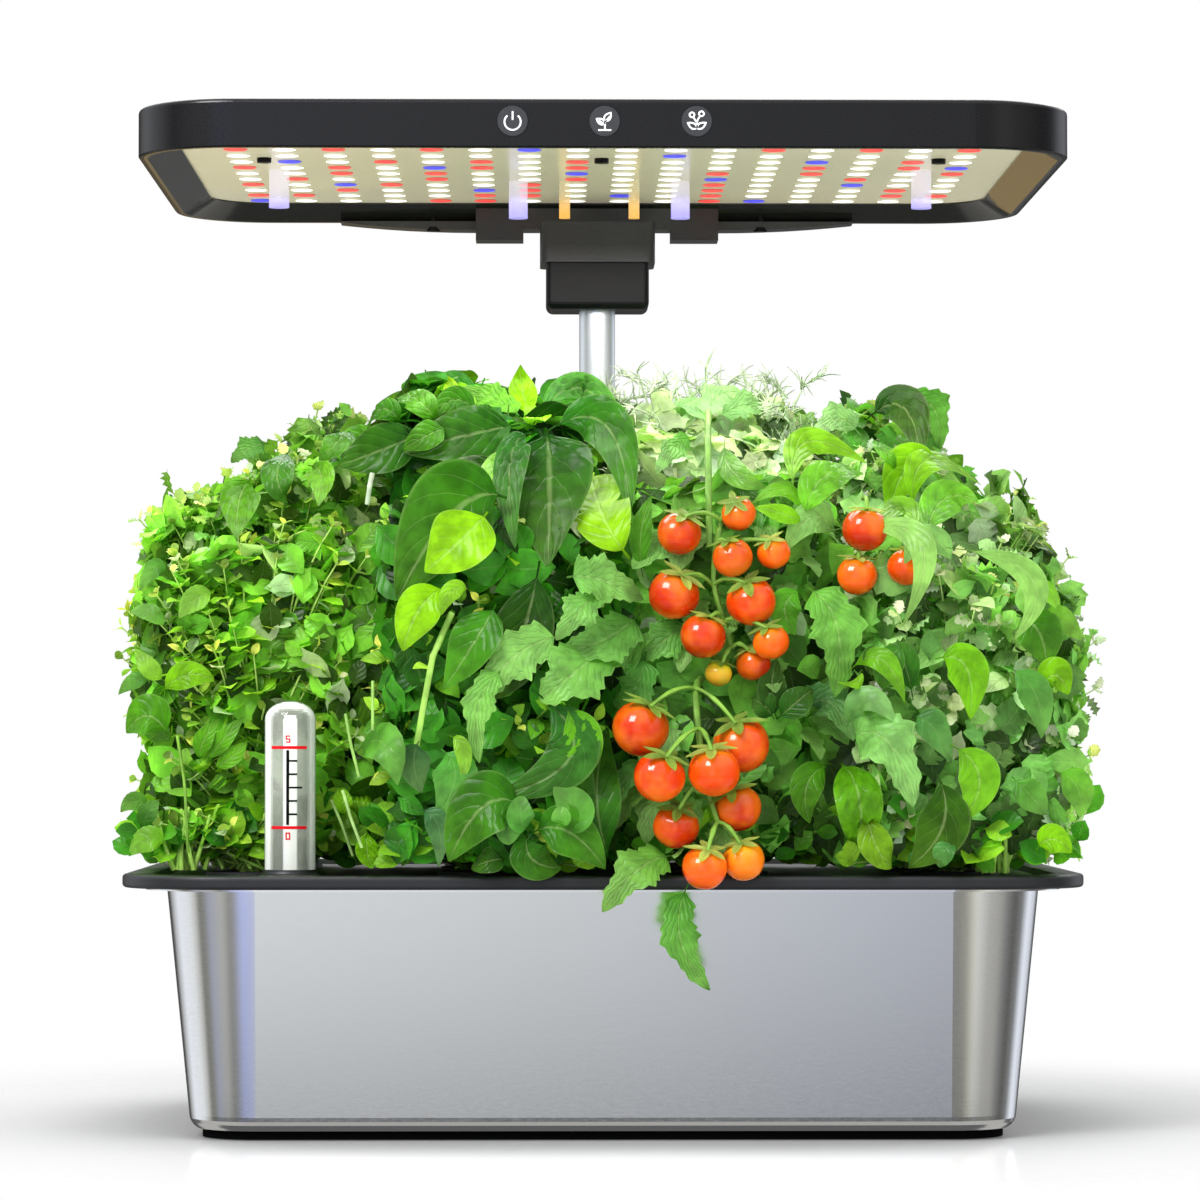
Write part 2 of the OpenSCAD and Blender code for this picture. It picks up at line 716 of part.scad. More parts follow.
module impeller() {
    blade_t = 1.4;
    color("#e8e8e8") translate([pump_x, pump_y, pump_z0 + 2]) difference() {
        union() {
            cylinder(r = 3.4, h = 8);
            cylinder(r = impeller_r, h = 1.2);
            for (k = [0 : 5]) rotate([0, 0, 60 * k]) translate([2.5, -blade_t / 2, 0])
                cube([impeller_r - 3, blade_t, 7]);
        }
        translate([0, 0, -cut]) cylinder(r = 1 + slide_gap, h = 8 + 2 * cut, $fn = 24);
    }
}

// ---- Level gauge ----

module gauge_tube() {
    in_r = gauge_r - gauge_wall;
    dome_z = gauge_z1 - gauge_dome_h;
    dome = [for (p = arc(0, 0, 1, 0, 90, 8)) [p[0] * gauge_r, dome_z + p[1] * gauge_dome_h]];
    vault = [for (p = arc(0, 0, 1, 90, 0, 8)) [p[0] * in_r, dome_z + p[1] * (gauge_dome_h - gauge_wall)]];
    color([0.85, 0.92, 0.92, 0.45]) translate([-gauge_x, -gauge_y, 0]) rotate_extrude()
        polygon(concat([[in_r, tube_seat_z], [gauge_r, tube_seat_z]],
            [for (p = dome) [max(p[0], 0), p[1]]],
            [for (p = vault) [max(p[0], 0), p[1]]]));
}

module gauge_collar() {
    top_z = floor_z + collar_h;
    flare_w = collar_r - gauge_r - 0.5;
    flare_h = collar_h - 0.8;
    color("#26272a") translate([-gauge_x, -gauge_y, 0]) difference() {
        rotate_extrude() polygon(concat(
            [[2, sleeve_z0], [sleeve_r, sleeve_z0], [sleeve_r, floor_z], [collar_r, floor_z]],
            [for (p = arc(1, 1, 1, -90, -180))
                [gauge_r + 0.5 + p[0] * flare_w, top_z - flare_h + p[1] * flare_h]],
            [[gauge_r, top_z], [gauge_r, tube_seat_z], [sleeve_bore_r, tube_seat_z],
             [sleeve_bore_r, sleeve_z0 + sleeve_floor_t], [2, sleeve_z0 + sleeve_floor_t]]));
        for (turn = [45, 135]) rotate([0, 0, turn])
            translate([-sleeve_r - cut, -2, sleeve_z0 + 6])
                cube([2 * (sleeve_r + cut), 4, skirt_z0 - sleeve_z0 - 10]);
    }
}

module gauge_float() {
    body_r = sleeve_bore_r - float_gap;
    mark_z = deck_z1 + level_rest;
    color("#e7d23c") translate([-gauge_x, -gauge_y, 0]) rotate_extrude() polygon([
        [0, float_z0], [body_r - 1, float_z0], [body_r, float_z0 + 1],
        [body_r, float_z0 + float_h - 2], [body_r - 2, float_z0 + float_h],
        [float_stem_r, float_z0 + float_h], [float_stem_r, mark_z - mark_t / 2],
        [mark_r, mark_z - mark_t / 2], [mark_r, mark_z + mark_t / 2], [0, mark_z + mark_t / 2]]);
}

// ---- Pole ----

module outer_tube() {
    color("gainsboro") translate([0, pole_y, tube_z0]) difference() {
        cylinder(r = tube_r, h = tube_z1 - tube_z0);
        translate([0, 0, -cut]) cylinder(r = tube_bore_r, h = tube_z1 - tube_z0 + 2 * cut);
    }
}

module ferrule() {
    color("#2b2c2f") translate([0, pole_y, 0]) rotate_extrude() polygon([
        [tube_r, ferrule_z0], [tube_r + ferrule_wall, ferrule_z0],
        [tube_r + ferrule_wall, ferrule_z1 - 1], [tube_r + ferrule_wall - 1, ferrule_z1],
        [pole_r + slide_gap, ferrule_z1], [pole_r + slide_gap, tube_z1], [tube_r, tube_z1]]);
}

module inner_pole() {
    color("gainsboro") translate([0, pole_y, pole_z0]) difference() {
        cylinder(r = pole_r, h = pole_z1 - pole_z0);
        translate([0, 0, -cut]) cylinder(r = pole_r - pole_wall, h = pole_z1 - pole_z0 + 2 * cut);
    }
}

module guide_ring() {
    color("white") translate([0, pole_y, pole_z0]) difference() {
        cylinder(r = tube_bore_r - slide_gap, h = guide_z1 - pole_z0);
        translate([0, 0, -cut]) cylinder(r = pole_r, h = guide_z1 - pole_z0 + 2 * cut);
    }
}

module pole_head() {
    r = head_edge_r;
    cx = head_w / 2 - r;
    cy = head_d / 2 - r;
    color("#2e2f31") translate([0, pole_y, 0]) difference() {
        union() {
            ring(cx, cy) polygon(concat([[0, head_z0]], arc(0, head_z0 + r, r, -85, 0, 5),
                [[r, bracket_z0], [0, bracket_z0]]));
            translate([-cx, -cy, head_z0]) cube([2 * cx, 2 * cy, head_h]);
            translate([-spigot_w / 2, -spigot_d / 2, bracket_z0 - cut])
                cube([spigot_w, spigot_d, spigot_h + cut]);
        }
        translate([0, 0, head_z0 - cut]) cylinder(r = pole_r, h = pole_z1 - head_z0 + cut);
        translate([0, 0, head_z0]) cylinder(r = cable_r, h = head_h + spigot_h + cut);
    }
}

// ---- Lamp bracket ----

module wing_screw_places() {
    for (side = [-1, 1]) translate([side * wing_screw_x, wing_screw_y, 0]) children();
}

module lamp_bracket() {
    collar_w = head_w + 2 * collar_over;
    collar_d = head_d + 2 * collar_over;
    wing_z0 = lamp_z0 - wing_h;
    bend = block_w / 2;
    tip = wing_w / 2;
    rise = wing_h - 0.6;
    steps = 6;
    color("#2e2f31") difference() {
        union() {
            translate([0, wing_y0 + wing_d, 0]) rotate([90, 0, 0]) linear_extrude(wing_d) polygon(concat(
                [for (k = [0 : steps]) [-tip + (tip - bend) * k / steps,
                    wing_z0 + rise * pow(1 - k / steps, 2)]],
                [for (k = [steps : -1 : 0]) [tip - (tip - bend) * k / steps,
                    wing_z0 + rise * pow(1 - k / steps, 2)]],
                [[tip, lamp_z0], [-tip, lamp_z0]]));
            translate([-block_w / 2, block_y0, wing_z0])
                cube([block_w, lamp_y1 - lamp_wall - block_gap - block_y0, wing_h + block_h]);
            for (side = [-1, 1])
                translate([side * (block_w - lug_w) / 2 - lug_w / 2, block_y0, wing_z0 - lug_h])
                    cube([lug_w, wing_d + 3, lug_h + cut]);
            translate([0, pole_y, 0])
                slab(collar_w / 2 - 4, collar_d / 2 - 4, 4, bracket_z0, wing_z0 + cut);
        }
        translate([-spigot_w / 2 - spigot_gap, pole_y - spigot_d / 2 - spigot_gap, bracket_z0 - cut])
            cube([spigot_w + 2 * spigot_gap, spigot_d + 2 * spigot_gap, spigot_h + spigot_gap + cut]);
        wing_screw_places() translate([0, 0, wing_z0 - cut]) cylinder(r = screw_r, h = wing_h + 2 * cut);
        wing_screw_places() translate([0, 0, wing_z0 - cut]) cylinder(r = 3.1, h = cut + 1.4);
    }
}

module bracket_screws() {
    seat_z = lamp_z0 - wing_h + 1.4;
    color("#202020") wing_screw_places() {
        translate([0, 0, seat_z - screw_head_h]) cylinder(r = screw_head_r, h = screw_head_h);
        translate([0, 0, seat_z - touch]) cylinder(r = screw_r, h = board_top + 3 - seat_z);
    }
}

// ---- Lamp ----

module board_screw_places() {
    for (side = [-1, 0, 1]) translate([side * board_screw_x, board_screw_y, 0]) children();
}

module lamp_housing() {
    r = lamp_corner_r;
    edge = 1.5;
    color("#2c2d30") difference() {
        union() {
            translate([0, lamp_y, 0]) ring(lamp_cx, lamp_cy) polygon(concat(
                [[lamp_inside_r, lamp_z0], [r - 0.5, lamp_z0], [r, lamp_z0 + 0.5]],
                arc(r - edge, lamp_z1 - edge, edge, 0, 90, 4),
                [[0, lamp_z1], [0, lamp_roof_z], [lamp_inside_r, lamp_roof_z]]));
            translate([-lamp_cx, lamp_y - lamp_cy, lamp_roof_z])
                cube([2 * lamp_cx, 2 * lamp_cy, lamp_wall]);
            board_screw_places() translate([0, 0, board_top])
                cylinder(r = boss_r, h = lamp_roof_z - board_top + touch);
            wing_screw_places() translate([0, 0, board_z])
                cylinder(r = boss_r, h = lamp_roof_z - board_z + touch);
        }
        board_screw_places() translate([0, 0, board_z]) cylinder(r = screw_r, h = board_t + 4);
        wing_screw_places() translate([0, 0, board_z - cut]) cylinder(r = screw_r, h = board_t + 3 + cut);
        for (k = [-1 : 1]) translate([k * button_pitch, lamp_y0 - cut, button_z]) rotate([-90, 0, 0])
            cylinder(r = button_r + button_gap, h = lamp_wall + 2 * cut);
    }
}

module lamp_bezel() {
    lip_w = 1.4;
    pocket_r = button_flange_r + 0.35;
    color("#1b1b1c") difference() {
        translate([0, lamp_y, 0]) ring(lamp_cx, lamp_cy) polygon([
            [lamp_inside_r - lip_w, lamp_z0], [lamp_inside_r, lamp_z0], [lamp_inside_r, board_z],
            [bezel_in_r, board_z], [bezel_in_r, board_z - 0.6]]);
        translate([-block_w / 2 - block_gap, lamp_y1 - 20, lamp_z0 - cut])
            cube([block_w + 2 * block_gap, 20, block_h + cut]);
        wing_screw_places() translate([0, 0, lamp_z0 - cut]) cylinder(r = screw_r, h = bezel_h + 2 * cut);
        for (k = [-1 : 1])
            translate([k * button_pitch - pocket_r, lamp_y0 + lamp_wall - cut, button_z - pocket_r])
                cube([2 * pocket_r, switch_y - lamp_y0 - lamp_wall + cut, bezel_h]);
    }
}

module light_board() {
    color("#b9bab0") difference() {
        translate([0, lamp_y, 0]) slab(lamp_cx, lamp_cy, board_r, board_z, board_top);
        board_screw_places() translate([0, 0, board_z - cut]) cylinder(r = screw_r, h = board_t + 2 * cut);
    }
}

module board_screws() {
    color("#202020") board_screw_places() {
        translate([0, 0, board_z - screw_head_h]) cylinder(r = screw_head_r, h = screw_head_h);
        translate([0, 0, board_z - touch]) cylinder(r = screw_r, h = board_t + 4 + touch);
    }
}

module lights(kind) {
    for (col = [0 : led_cols - 1], row = [0 : led_rows - 1]) if (led_kind(col, row) == kind)
        translate([led_x(col), led_y(row), led_z0]) cylinder(r = led_r, h = led_h, $fn = 32);
}

module white_lights() {
    color("white") lights(0);
}

module red_lights() {
    color("red") lights(1);
}

module blue_lights() {
    color("blue") lights(2);
}

module post(x, y, r) {
    translate([x, lamp_y + y, board_z - post_h]) cylinder(r = r, h = post_h, $fn = 32);
}

module clear_posts() {
    color([0.75, 0.75, 0.95, 0.5]) for (side = [-1, 1]) {
        post(side * 6.8 * led_pitch_x, 0, end_post_r);
        post(side * 1.75 * led_pitch_x, 2 * led_pitch_y, violet_post_r);
    }
}

module amber_posts() {
    color([0.95, 0.7, 0.2, 0.6]) for (side = [-1, 1])
        post(side * 0.75 * led_pitch_x, 2 * led_pitch_y, amber_post_r);
}

// ---- Buttons ----

module button_board() {
    color("#1f5a34") {
        translate([-button_board_w / 2, button_board_y, board_z])
            cube([button_board_w, button_board_t, lamp_roof_z - board_z - 0.2]);
        for (k = [-1 : 1]) translate([k * button_pitch - 3, switch_y, button_z - 2.6])
            cube([6, switch_t, 6]);
    }
}

module button(k) {
    front_y = lamp_y0 - button_proud;
    color("#3a3b3e") translate([k * button_pitch, button_back_y, button_z]) rotate([90, 0, 0]) {
        cylinder(r = button_flange_r, h = button_flange_t);
        cylinder(r = button_r, h = button_back_y - front_y - 0.3);
        translate([0, 0, button_back_y - front_y - 0.3 - touch])
            cylinder(r1 = button_r, r2 = button_r - 0.3, h = 0.3 + touch);
    }
}

module power_button() {
    button(-1);
}

module leaf_button() {
    button(0);
}

module fruit_button() {
    button(1);
}

base_mat();
tank_shell();
deck();
pole_socket();
socket_screws();
dc_inlet();
outer_tube();
ferrule();
sponges();
upper_truss();
lower_truss();
pump_body();
pump_strainer();
pump_riser();
impeller();
gauge_tube();
gauge_collar();
gauge_float();
inner_pole();
guide_ring();
pole_head();
lamp_bracket();
bracket_screws();
lamp_housing();
lamp_bezel();
light_board();
board_screws();
white_lights();
red_lights();
blue_lights();
clear_posts();
amber_posts();
button_board();
power_button();
leaf_button();
fruit_button();
for (i = pods) basket(i);
for (i = pods) plant(i);
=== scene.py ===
"""Countertop hydroponic garden: finishes, plants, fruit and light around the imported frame.

Shapes are worked out in millimetres, in the frame's own axes, and turned into metres
when their mesh is made.
"""

import math
from dataclasses import dataclass

import bpy
import numpy as np
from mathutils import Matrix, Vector
from mathutils.bvhtree import BVHTree


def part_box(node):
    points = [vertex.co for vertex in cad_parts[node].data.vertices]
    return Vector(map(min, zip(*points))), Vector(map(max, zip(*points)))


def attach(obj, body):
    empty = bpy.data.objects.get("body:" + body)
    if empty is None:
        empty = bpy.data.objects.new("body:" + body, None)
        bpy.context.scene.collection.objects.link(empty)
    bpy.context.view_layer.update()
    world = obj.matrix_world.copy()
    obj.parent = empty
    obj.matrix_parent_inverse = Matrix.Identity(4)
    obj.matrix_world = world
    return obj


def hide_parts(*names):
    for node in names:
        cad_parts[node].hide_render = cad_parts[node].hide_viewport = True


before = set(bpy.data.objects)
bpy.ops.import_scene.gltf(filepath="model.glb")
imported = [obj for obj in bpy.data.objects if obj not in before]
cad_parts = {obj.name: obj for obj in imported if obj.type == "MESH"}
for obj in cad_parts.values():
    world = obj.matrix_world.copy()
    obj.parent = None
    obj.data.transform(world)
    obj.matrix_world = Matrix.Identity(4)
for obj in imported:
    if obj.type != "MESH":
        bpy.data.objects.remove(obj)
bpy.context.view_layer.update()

MM = 0.001
UP = np.array([0.0, 0.0, 1.0])
FRONT = np.array([0.0, -1.0, 0.0])
EYE = np.array([-23.0, -1816.0, 147.6])  # where the camera stands
EYE_RISE, EYE_TURN = 1.77, -0.72  # degrees that it looks up, and round to the left
LENS = 138

WHITE = (1.0, 1.0, 1.0)
BLACK = (0.0, 0.0, 0.0)


def middle_of(name):
    """The middle of an upright piece, across and back, to a tenth of a millimetre."""
    low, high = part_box(name)
    return np.round([(low.x + high.x) / 2 / MM, (low.y + high.y) / 2 / MM], 1)


DECK_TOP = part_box("deck")[1].z / MM
DECK_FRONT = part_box("deck")[0].y / MM
GAUGE = middle_of("gauge_tube")
POLE = middle_of("outer_tube")
PLANTS = range(1, 13)
PODS = {k: np.array([*middle_of(f"basket_{k}"), DECK_TOP]) for k in PLANTS}
CROWNS = {k: tuple(np.array(p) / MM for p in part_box(f"plant_{k}")) for k in PLANTS}


# ---- Shader trees ----

def linear(colour):
    """A colour written as in a paint chart, #rrggbb, as the shaders want it."""
    parts = [int(colour[k:k + 2], 16) / 255 for k in (1, 3, 5)]
    return [p / 12.92 if p <= 0.04045 else ((p + 0.055) / 1.055) ** 2.4 for p in parts]


def tone_of(colour):
    """A colour as an array, for a tone that is worked on."""
    return np.array(linear(colour))


def add(tree, kind, values=None, **settings):
    """A new node. values sets its inputs, or joins them to a socket."""
    node = tree.nodes.new("ShaderNode" + kind)
    for name, value in settings.items():
        setattr(node, name, value)
    for name, value in (values or {}).items():
        if isinstance(value, bpy.types.NodeSocket):
            tree.links.new(value, node.inputs[name])
        else:
            node.inputs[name].default_value = value
    return node


def maths(tree, operation, a, b=0.0, c=0.0):
    """A sum, product or the like of numbers and sockets."""
    return add(tree, "Math", {0: a, 1: b, 2: c}, operation=operation).outputs[0]


def ramp(tree, value, low, high, to_low=0.0, to_high=1.0, smooth=True):
    """value between low and high, spread over to_low to to_high."""
    kind = "SMOOTHSTEP" if smooth else "LINEAR"
    return add(tree, "MapRange", {"Value": value, "From Min": low, "From Max": high,
                                  "To Min": to_low, "To Max": to_high},
               interpolation_type=kind).outputs["Result"]


def noise(tree, place, scale, detail=2.0, roughness=0.5):
    """Soft blotches, 0 to 1."""
    return add(tree, "TexNoise", {"Vector": place, "Scale": scale, "Detail": detail,
                                  "Roughness": roughness}).outputs["Fac"]


def cells(tree, place, scale):
    """How far a place is from the middle of its own cell."""
    return add(tree, "TexVoronoi", {"Vector": place, "Scale": scale}).outputs["Distance"]


def scaled(tree, vector, by):
    """A colour or vector times one number."""
    return add(tree, "VectorMath", {0: vector, "Scale": by}, operation="SCALE").outputs[0]


def multiplied(tree, vector, by):
    """A vector times another, axis by axis."""
    return add(tree, "VectorMath", {0: vector, 1: by}, operation="MULTIPLY").outputs[0]


def window(tree, value, low, high, soft):
    """1 between low and high, with soft ends."""
    return maths(tree, "MULTIPLY", ramp(tree, value, low, low + soft),
                 ramp(tree, value, high, high - soft))


def blend_colours(tree, share, a, b, blend_type="MIX"):
    """Colour a, with b over it by its share."""
    node = add(tree, "Mix", data_type="RGBA", blend_type=blend_type)
    for socket, value in ((node.inputs[0], share), (node.inputs[6], a), (node.inputs[7], b)):
        if isinstance(value, bpy.types.NodeSocket):
            tree.links.new(value, socket)
        else:
            socket.default_value = value if isinstance(value, float) else [*value, 1][:4]
    return node.outputs[2]


def new_group(name, inputs, outputs):
    """A shader node group with named sockets, its input node and its output node."""
    group = bpy.data.node_groups.new(name, "ShaderNodeTree")
    for way, sockets in (("INPUT", inputs), ("OUTPUT", outputs)):
        for label, kind, *value in sockets:
            socket = group.interface.new_socket(
                label, in_out=way, socket_type="NodeSocket" + kind)
            if value:
                socket.default_value = value[0]
    source = group.nodes.new("NodeGroupInput")
    sink = group.nodes.new("NodeGroupOutput")
    return group, source.outputs, sink.inputs


def use(tree, group, **values):
    """A group placed in a material. Its inputs are named as the group's, with _ for a space."""
    node = tree.nodes.new("ShaderNodeGroup")
    node.node_tree = group
    for name, value in values.items():
        socket = node.inputs[name.replace("_", " ")]
        if isinstance(value, bpy.types.NodeSocket):
            tree.links.new(value, socket)
        else:
            socket.default_value = value
    return node.outputs


def moulded_group():
    """The fine grain and faint mottling of a moulded or painted surface."""
    group, given, made = new_group(
        "Moulded grain",
        [("Place", "Vector"), ("Colour", "Color"), ("Grain", "Float", 900.0),
         ("Mottling", "Float", 0.1), ("Roughness", "Float", 0.4)],
        [("Colour", "Color"), ("Roughness", "Float"), ("Height", "Float")])
    grain = noise(group, given["Place"], given["Grain"], 3.0, 0.6)
    clouds = noise(group, given["Place"], 22.0)
    shade = maths(group, "MULTIPLY_ADD", maths(group, "SUBTRACT", clouds, 0.5),
                  maths(group, "MULTIPLY", given["Mottling"], 2.0), 1.0)
    group.links.new(scaled(group, given["Colour"], shade), made["Colour"])
    rough = maths(group, "MULTIPLY_ADD", maths(group, "SUBTRACT", grain, 0.5), 0.16,
                  given["Roughness"])
    group.links.new(rough, made["Roughness"])
    group.links.new(grain, made["Height"])
    return group


def brushed_group():
    """Fine level scratches, as a belt leaves them on steel."""
    group, given, made = new_group(
        "Brushed grain",
        [("Place", "Vector"), ("Length", "Vector", (40.0, 40.0, 2600.0)),
         ("Roughness", "Float", 0.3)],
        [("Roughness", "Float"), ("Height", "Float"), ("Shade", "Float")])
    lines = noise(group, multiplied(group, given["Place"], given["Length"]), 1.0, 4.0, 0.7)
    beads = noise(group, given["Place"], 1500.0)
    both = maths(group, "MULTIPLY_ADD", beads, 0.5, maths(group, "MULTIPLY", lines, 0.5))
    group.links.new(maths(group, "MULTIPLY_ADD", maths(group, "SUBTRACT", both, 0.5), 0.22,
                          given["Roughness"]), made["Roughness"])
    group.links.new(both, made["Height"])
    group.links.new(ramp(group, both, 0.3, 0.7, 0.94, 1.04), made["Shade"])
    return group


def vein_group():
    """The midrib and side veins of a leaf, from its own place: across 0 to 1, along 0 to 1."""
    group, given, made = new_group(
        "Leaf veins",
        [("Place", "Vector"), ("Rows", "Float", 7.0), ("Slant", "Float", 0.3),
         ("Width", "Float", 0.12)],
        [("Veins", "Float"), ("Height", "Float")])
    parts = add(group, "SeparateXYZ", {0: given["Place"]}).outputs
    side = maths(group, "ABSOLUTE", maths(group, "MULTIPLY_ADD", parts["X"], 2.0, -1.0))
    lean = maths(group, "MULTIPLY", side, given["Slant"])
    row = maths(group, "MULTIPLY", maths(group, "SUBTRACT", parts["Y"], lean), given["Rows"])
    gap = maths(group, "MULTIPLY", maths(group, "ABSOLUTE", maths(
        group, "SUBTRACT", maths(group, "FRACT", row), 0.5)), 2.0)
    thin = maths(group, "SUBTRACT", 1.0, given["Width"])
    lateral = maths(group, "MULTIPLY", ramp(group, gap, thin, 1.0),
                    ramp(group, side, 0.95, 0.3, 0.25, 0.8))
    midrib = ramp(group, side, 0.09, 0.02)
    edge = ramp(group, side, 0.9, 0.99, 0.0, 0.45)
    veins = maths(group, "MAXIMUM", maths(group, "MAXIMUM", lateral, midrib), edge)
    group.links.new(veins, made["Veins"])
    pillow = maths(group, "SUBTRACT", 1.0, maths(group, "POWER", gap, 3.0))
    height = maths(group, "SUBTRACT", pillow, maths(group, "MULTIPLY", midrib, 1.2))
    group.links.new(height, made["Height"])
    return group


MOULDED = moulded_group()
BRUSHED = brushed_group()
VEINS = vein_group()


def new_finish(name, **sockets):
    """A material, its tree and its Principled shader with plain values set on the shader. Its
    sockets are named as the shader's, with _ for a space."""
    material = bpy.data.materials.new(name)
    material.use_nodes = True
    shader = material.node_tree.nodes["Principled BSDF"]
    for label, value in sockets.items():
        socket = shader.inputs[label.replace("_", " ")]
        socket.default_value = [*value, 1][:4] if isinstance(value, (list, tuple)) else value
    return material, material.node_tree, shader


def own_place(tree):
    """A surface's place in its own piece, which moves with it."""
    return add(tree, "TexCoord").outputs["Object"]


def join(tree, shader, colour, rough=None, height=None, depth=0.0, glow=None, clear=None):
    """Joins made values to the shader. depth is the height's, in millimetres."""
    if height is not None:
        height = add(tree, "Bump", {"Height": height, "Strength": 1.0,
                                    "Distance": depth * MM}).outputs[0]
    for label, made in (("Base Color", colour), ("Roughness", rough), ("Normal", height),
                        ("Emission Color", glow), ("Alpha", clear)):
        if made is not None:
            tree.links.new(made, shader.inputs[label])


def mixed_surface(tree, share, first, second):
    """The material shows the second shader by its share, and the first for the rest."""
    mix = add(tree, "MixShader", {0: share, 1: first.outputs[0], 2: second.outputs[0]})
    tree.links.new(mix.outputs[0], tree.nodes["Material Output"].inputs["Surface"])


def moulded(name, colour, roughness, grain=900.0, mottling=0.1, depth=0.03, **sockets):
    """Moulded or painted finish, with a grain of some depth in millimetres."""
    material, tree, shader = new_finish(name, **sockets)
    out = use(tree, MOULDED, Place=own_place(tree), Colour=[*linear(colour), 1], Grain=grain,
              Mottling=mottling, Roughness=roughness)
    join(tree, shader, out["Colour"], out["Roughness"], out["Height"], depth)
    return material


def brushed(name, colour, roughness, length, depth, metallic=1.0):
    """Bare metal with a drawn grain. length is its fineness along each axis."""
    material, tree, shader = new_finish(name, Metallic=metallic)
    out = use(tree, BRUSHED, Place=own_place(tree), Length=length, Roughness=roughness)
    tint = scaled(tree, linear(colour), out["Shade"])
    join(tree, shader, tint, out["Roughness"], out["Height"], depth)
    return material


def light_finish(name, colour, rim, strength):
    """A lit diode: bright lens underneath, dim package on its side."""
    material, tree, shader = new_finish(
        name, Roughness=0.5, Specular_IOR_Level=0.1, Emission_Strength=strength)
    down = add(tree, "SeparateXYZ", {0: add(tree, "NewGeometry").outputs["Normal"]}).outputs["Z"]
    lens = ramp(tree, down, -0.4, -0.9)
    tint = blend_colours(tree, lens, linear(rim), linear(colour))
    speck = noise(tree, own_place(tree), 700.0)
    glow = blend_colours(tree, maths(tree, "MULTIPLY", speck, 0.12), tint, WHITE)
    join(tree, shader, glow, glow=blend_colours(tree, lens, BLACK, glow))
    return material


def clear_finish(name, colour, roughness, clear):
    """Clear or tinted plastic with a faint haze."""
    material, tree, shader = new_finish(name, Transmission_Weight=clear, IOR=1.46)
    haze = noise(tree, own_place(tree), 60.0)
    tint = blend_colours(tree, maths(tree, "MULTIPLY", haze, 0.3), linear(colour), WHITE)
    join(tree, shader, tint, ramp(tree, haze, 0.2, 0.8, roughness * 0.8, roughness * 1.2))
    return material


def tube_finish(name, colour):
    """A thick clear tube with painted light: a painted highlight streak down its middle, grey beside
    it, a painted pale sheen and glow at its sides and a painted dark rim at its very edge."""
    # The tube is no lamp: its emission is a painted glow.
    material, tree, shader = new_finish(name, Roughness=0.08, Emission_Strength=0.08)
    haze = noise(tree, own_place(tree), 90.0)
    # Painted by the angle to the eye: the highlight streak, the pale sides and the dark rim stand in for
    # the tube's own highlights and refraction.
    edge = add(tree, "LayerWeight", {"Blend": 0.5}).outputs["Facing"]
    middle = ramp(tree, edge, 0.05, 0.03)
    side = ramp(tree, edge, 0.3, 0.42)
    rim = ramp(tree, edge, 0.72, 0.8)
    grey = blend_colours(tree, ramp(tree, haze, 0.35, 0.65), linear(colour), linear("#b9beb2"))
    tint = blend_colours(tree, maths(tree, "MAXIMUM", middle, side), grey, linear("#f4f8f2"))
    solid = maths(tree, "MAXIMUM", maths(tree, "MULTIPLY", middle, 0.66),
                  ramp(tree, edge, 0.25, 0.6, 0.45, 0.8))
    join(tree, shader, blend_colours(tree, rim, tint, linear("#8f948c")),
         glow=blend_colours(tree, side, BLACK, linear("#f4f8f2")), clear=solid)
    return material


def post_finish(name, colour, pale, glow):
    """A light guide: nearly clear where it meets the board, full of its colour at its end, and
    only there where it stands far out. Its glow is painted light, as the guide is no lamp."""
    material, tree, shader = new_finish(
        name, Roughness=0.15, Specular_IOR_Level=0.4, Emission_Strength=glow)
    heights = [corner.co.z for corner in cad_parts[name].data.vertices]
    place = add(tree, "SeparateXYZ", {0: own_place(tree)}).outputs
    aside = maths(tree, "ABSOLUTE", place["X"])
    share = maths(tree, "POWER", ramp(tree, place["Z"], max(heights), min(heights)),
                  ramp(tree, aside, 0.06, 0.09, 1.3, 7.0))
    streak = noise(tree, own_place(tree), 160.0)
    tint = blend_colours(tree, share, linear(pale), linear(colour))
    tint = blend_colours(tree, maths(tree, "MULTIPLY", streak, 0.2), tint, WHITE)
    # Painted glow: the tint is given again as emission.
    join(tree, shader, tint, glow=tint, clear=ramp(tree, share, 0.1, 0.8, 0.28, 0.85))
    return material


def foam_finish():
    """Open-celled growing foam, with painted shade that darkens its pits."""
    material, tree, shader = new_finish("growing_foam", Specular_IOR_Level=0.2)
    open_cells = cells(tree, own_place(tree), 900.0)
    # Painted shade: the pits at the cells' middles are darkened.
    tint = blend_colours(tree, ramp(tree, open_cells, 0.05, 0.5), linear("#14140f"),
                         linear("#4a4a3d"))
    join(tree, shader, tint, ramp(tree, open_cells, 0.0, 0.6, 0.95, 0.75), open_cells, 0.6)
    return material


def leaf_finish(name, rows, slant, width, gloss, depth, vein_share, light_through, shine=0.24):
    """A leaf: its own tone, paler veins and underside, and light that comes through."""
    material, tree, shader = new_finish(name, Specular_IOR_Level=shine)
    place = add(tree, "UVMap", uv_map="blade").outputs["UV"]
    tone = add(tree, "VertexColor", layer_name="tone").outputs["Color"]
    out = use(tree, VEINS, Place=place, Rows=rows, Slant=slant, Width=width)
    blotch = noise(tree, own_place(tree), 130.0, 3.0)
    body = scaled(tree, tone, ramp(tree, blotch, 0.3, 0.7, 0.72, 1.25))
    veined = blend_colours(tree, maths(tree, "MULTIPLY", out["Veins"], vein_share), body,
                           linear("#d6eca0"))
    under = maths(tree, "MULTIPLY", add(tree, "NewGeometry").outputs["Backfacing"], 0.14)
    both = blend_colours(tree, under, veined, linear("#8fb85a"))
    join(tree, shader, both, ramp(tree, blotch, 0.3, 0.7, gloss + 0.08, gloss - 0.06),
         out["Height"], depth)
    warm = blend_colours(tree, 0.55, both, linear("#c8f03c"), "SOFT_LIGHT")
    mixed_surface(tree, light_through, shader, add(tree, "BsdfTranslucent", {"Color": warm}))
    return material


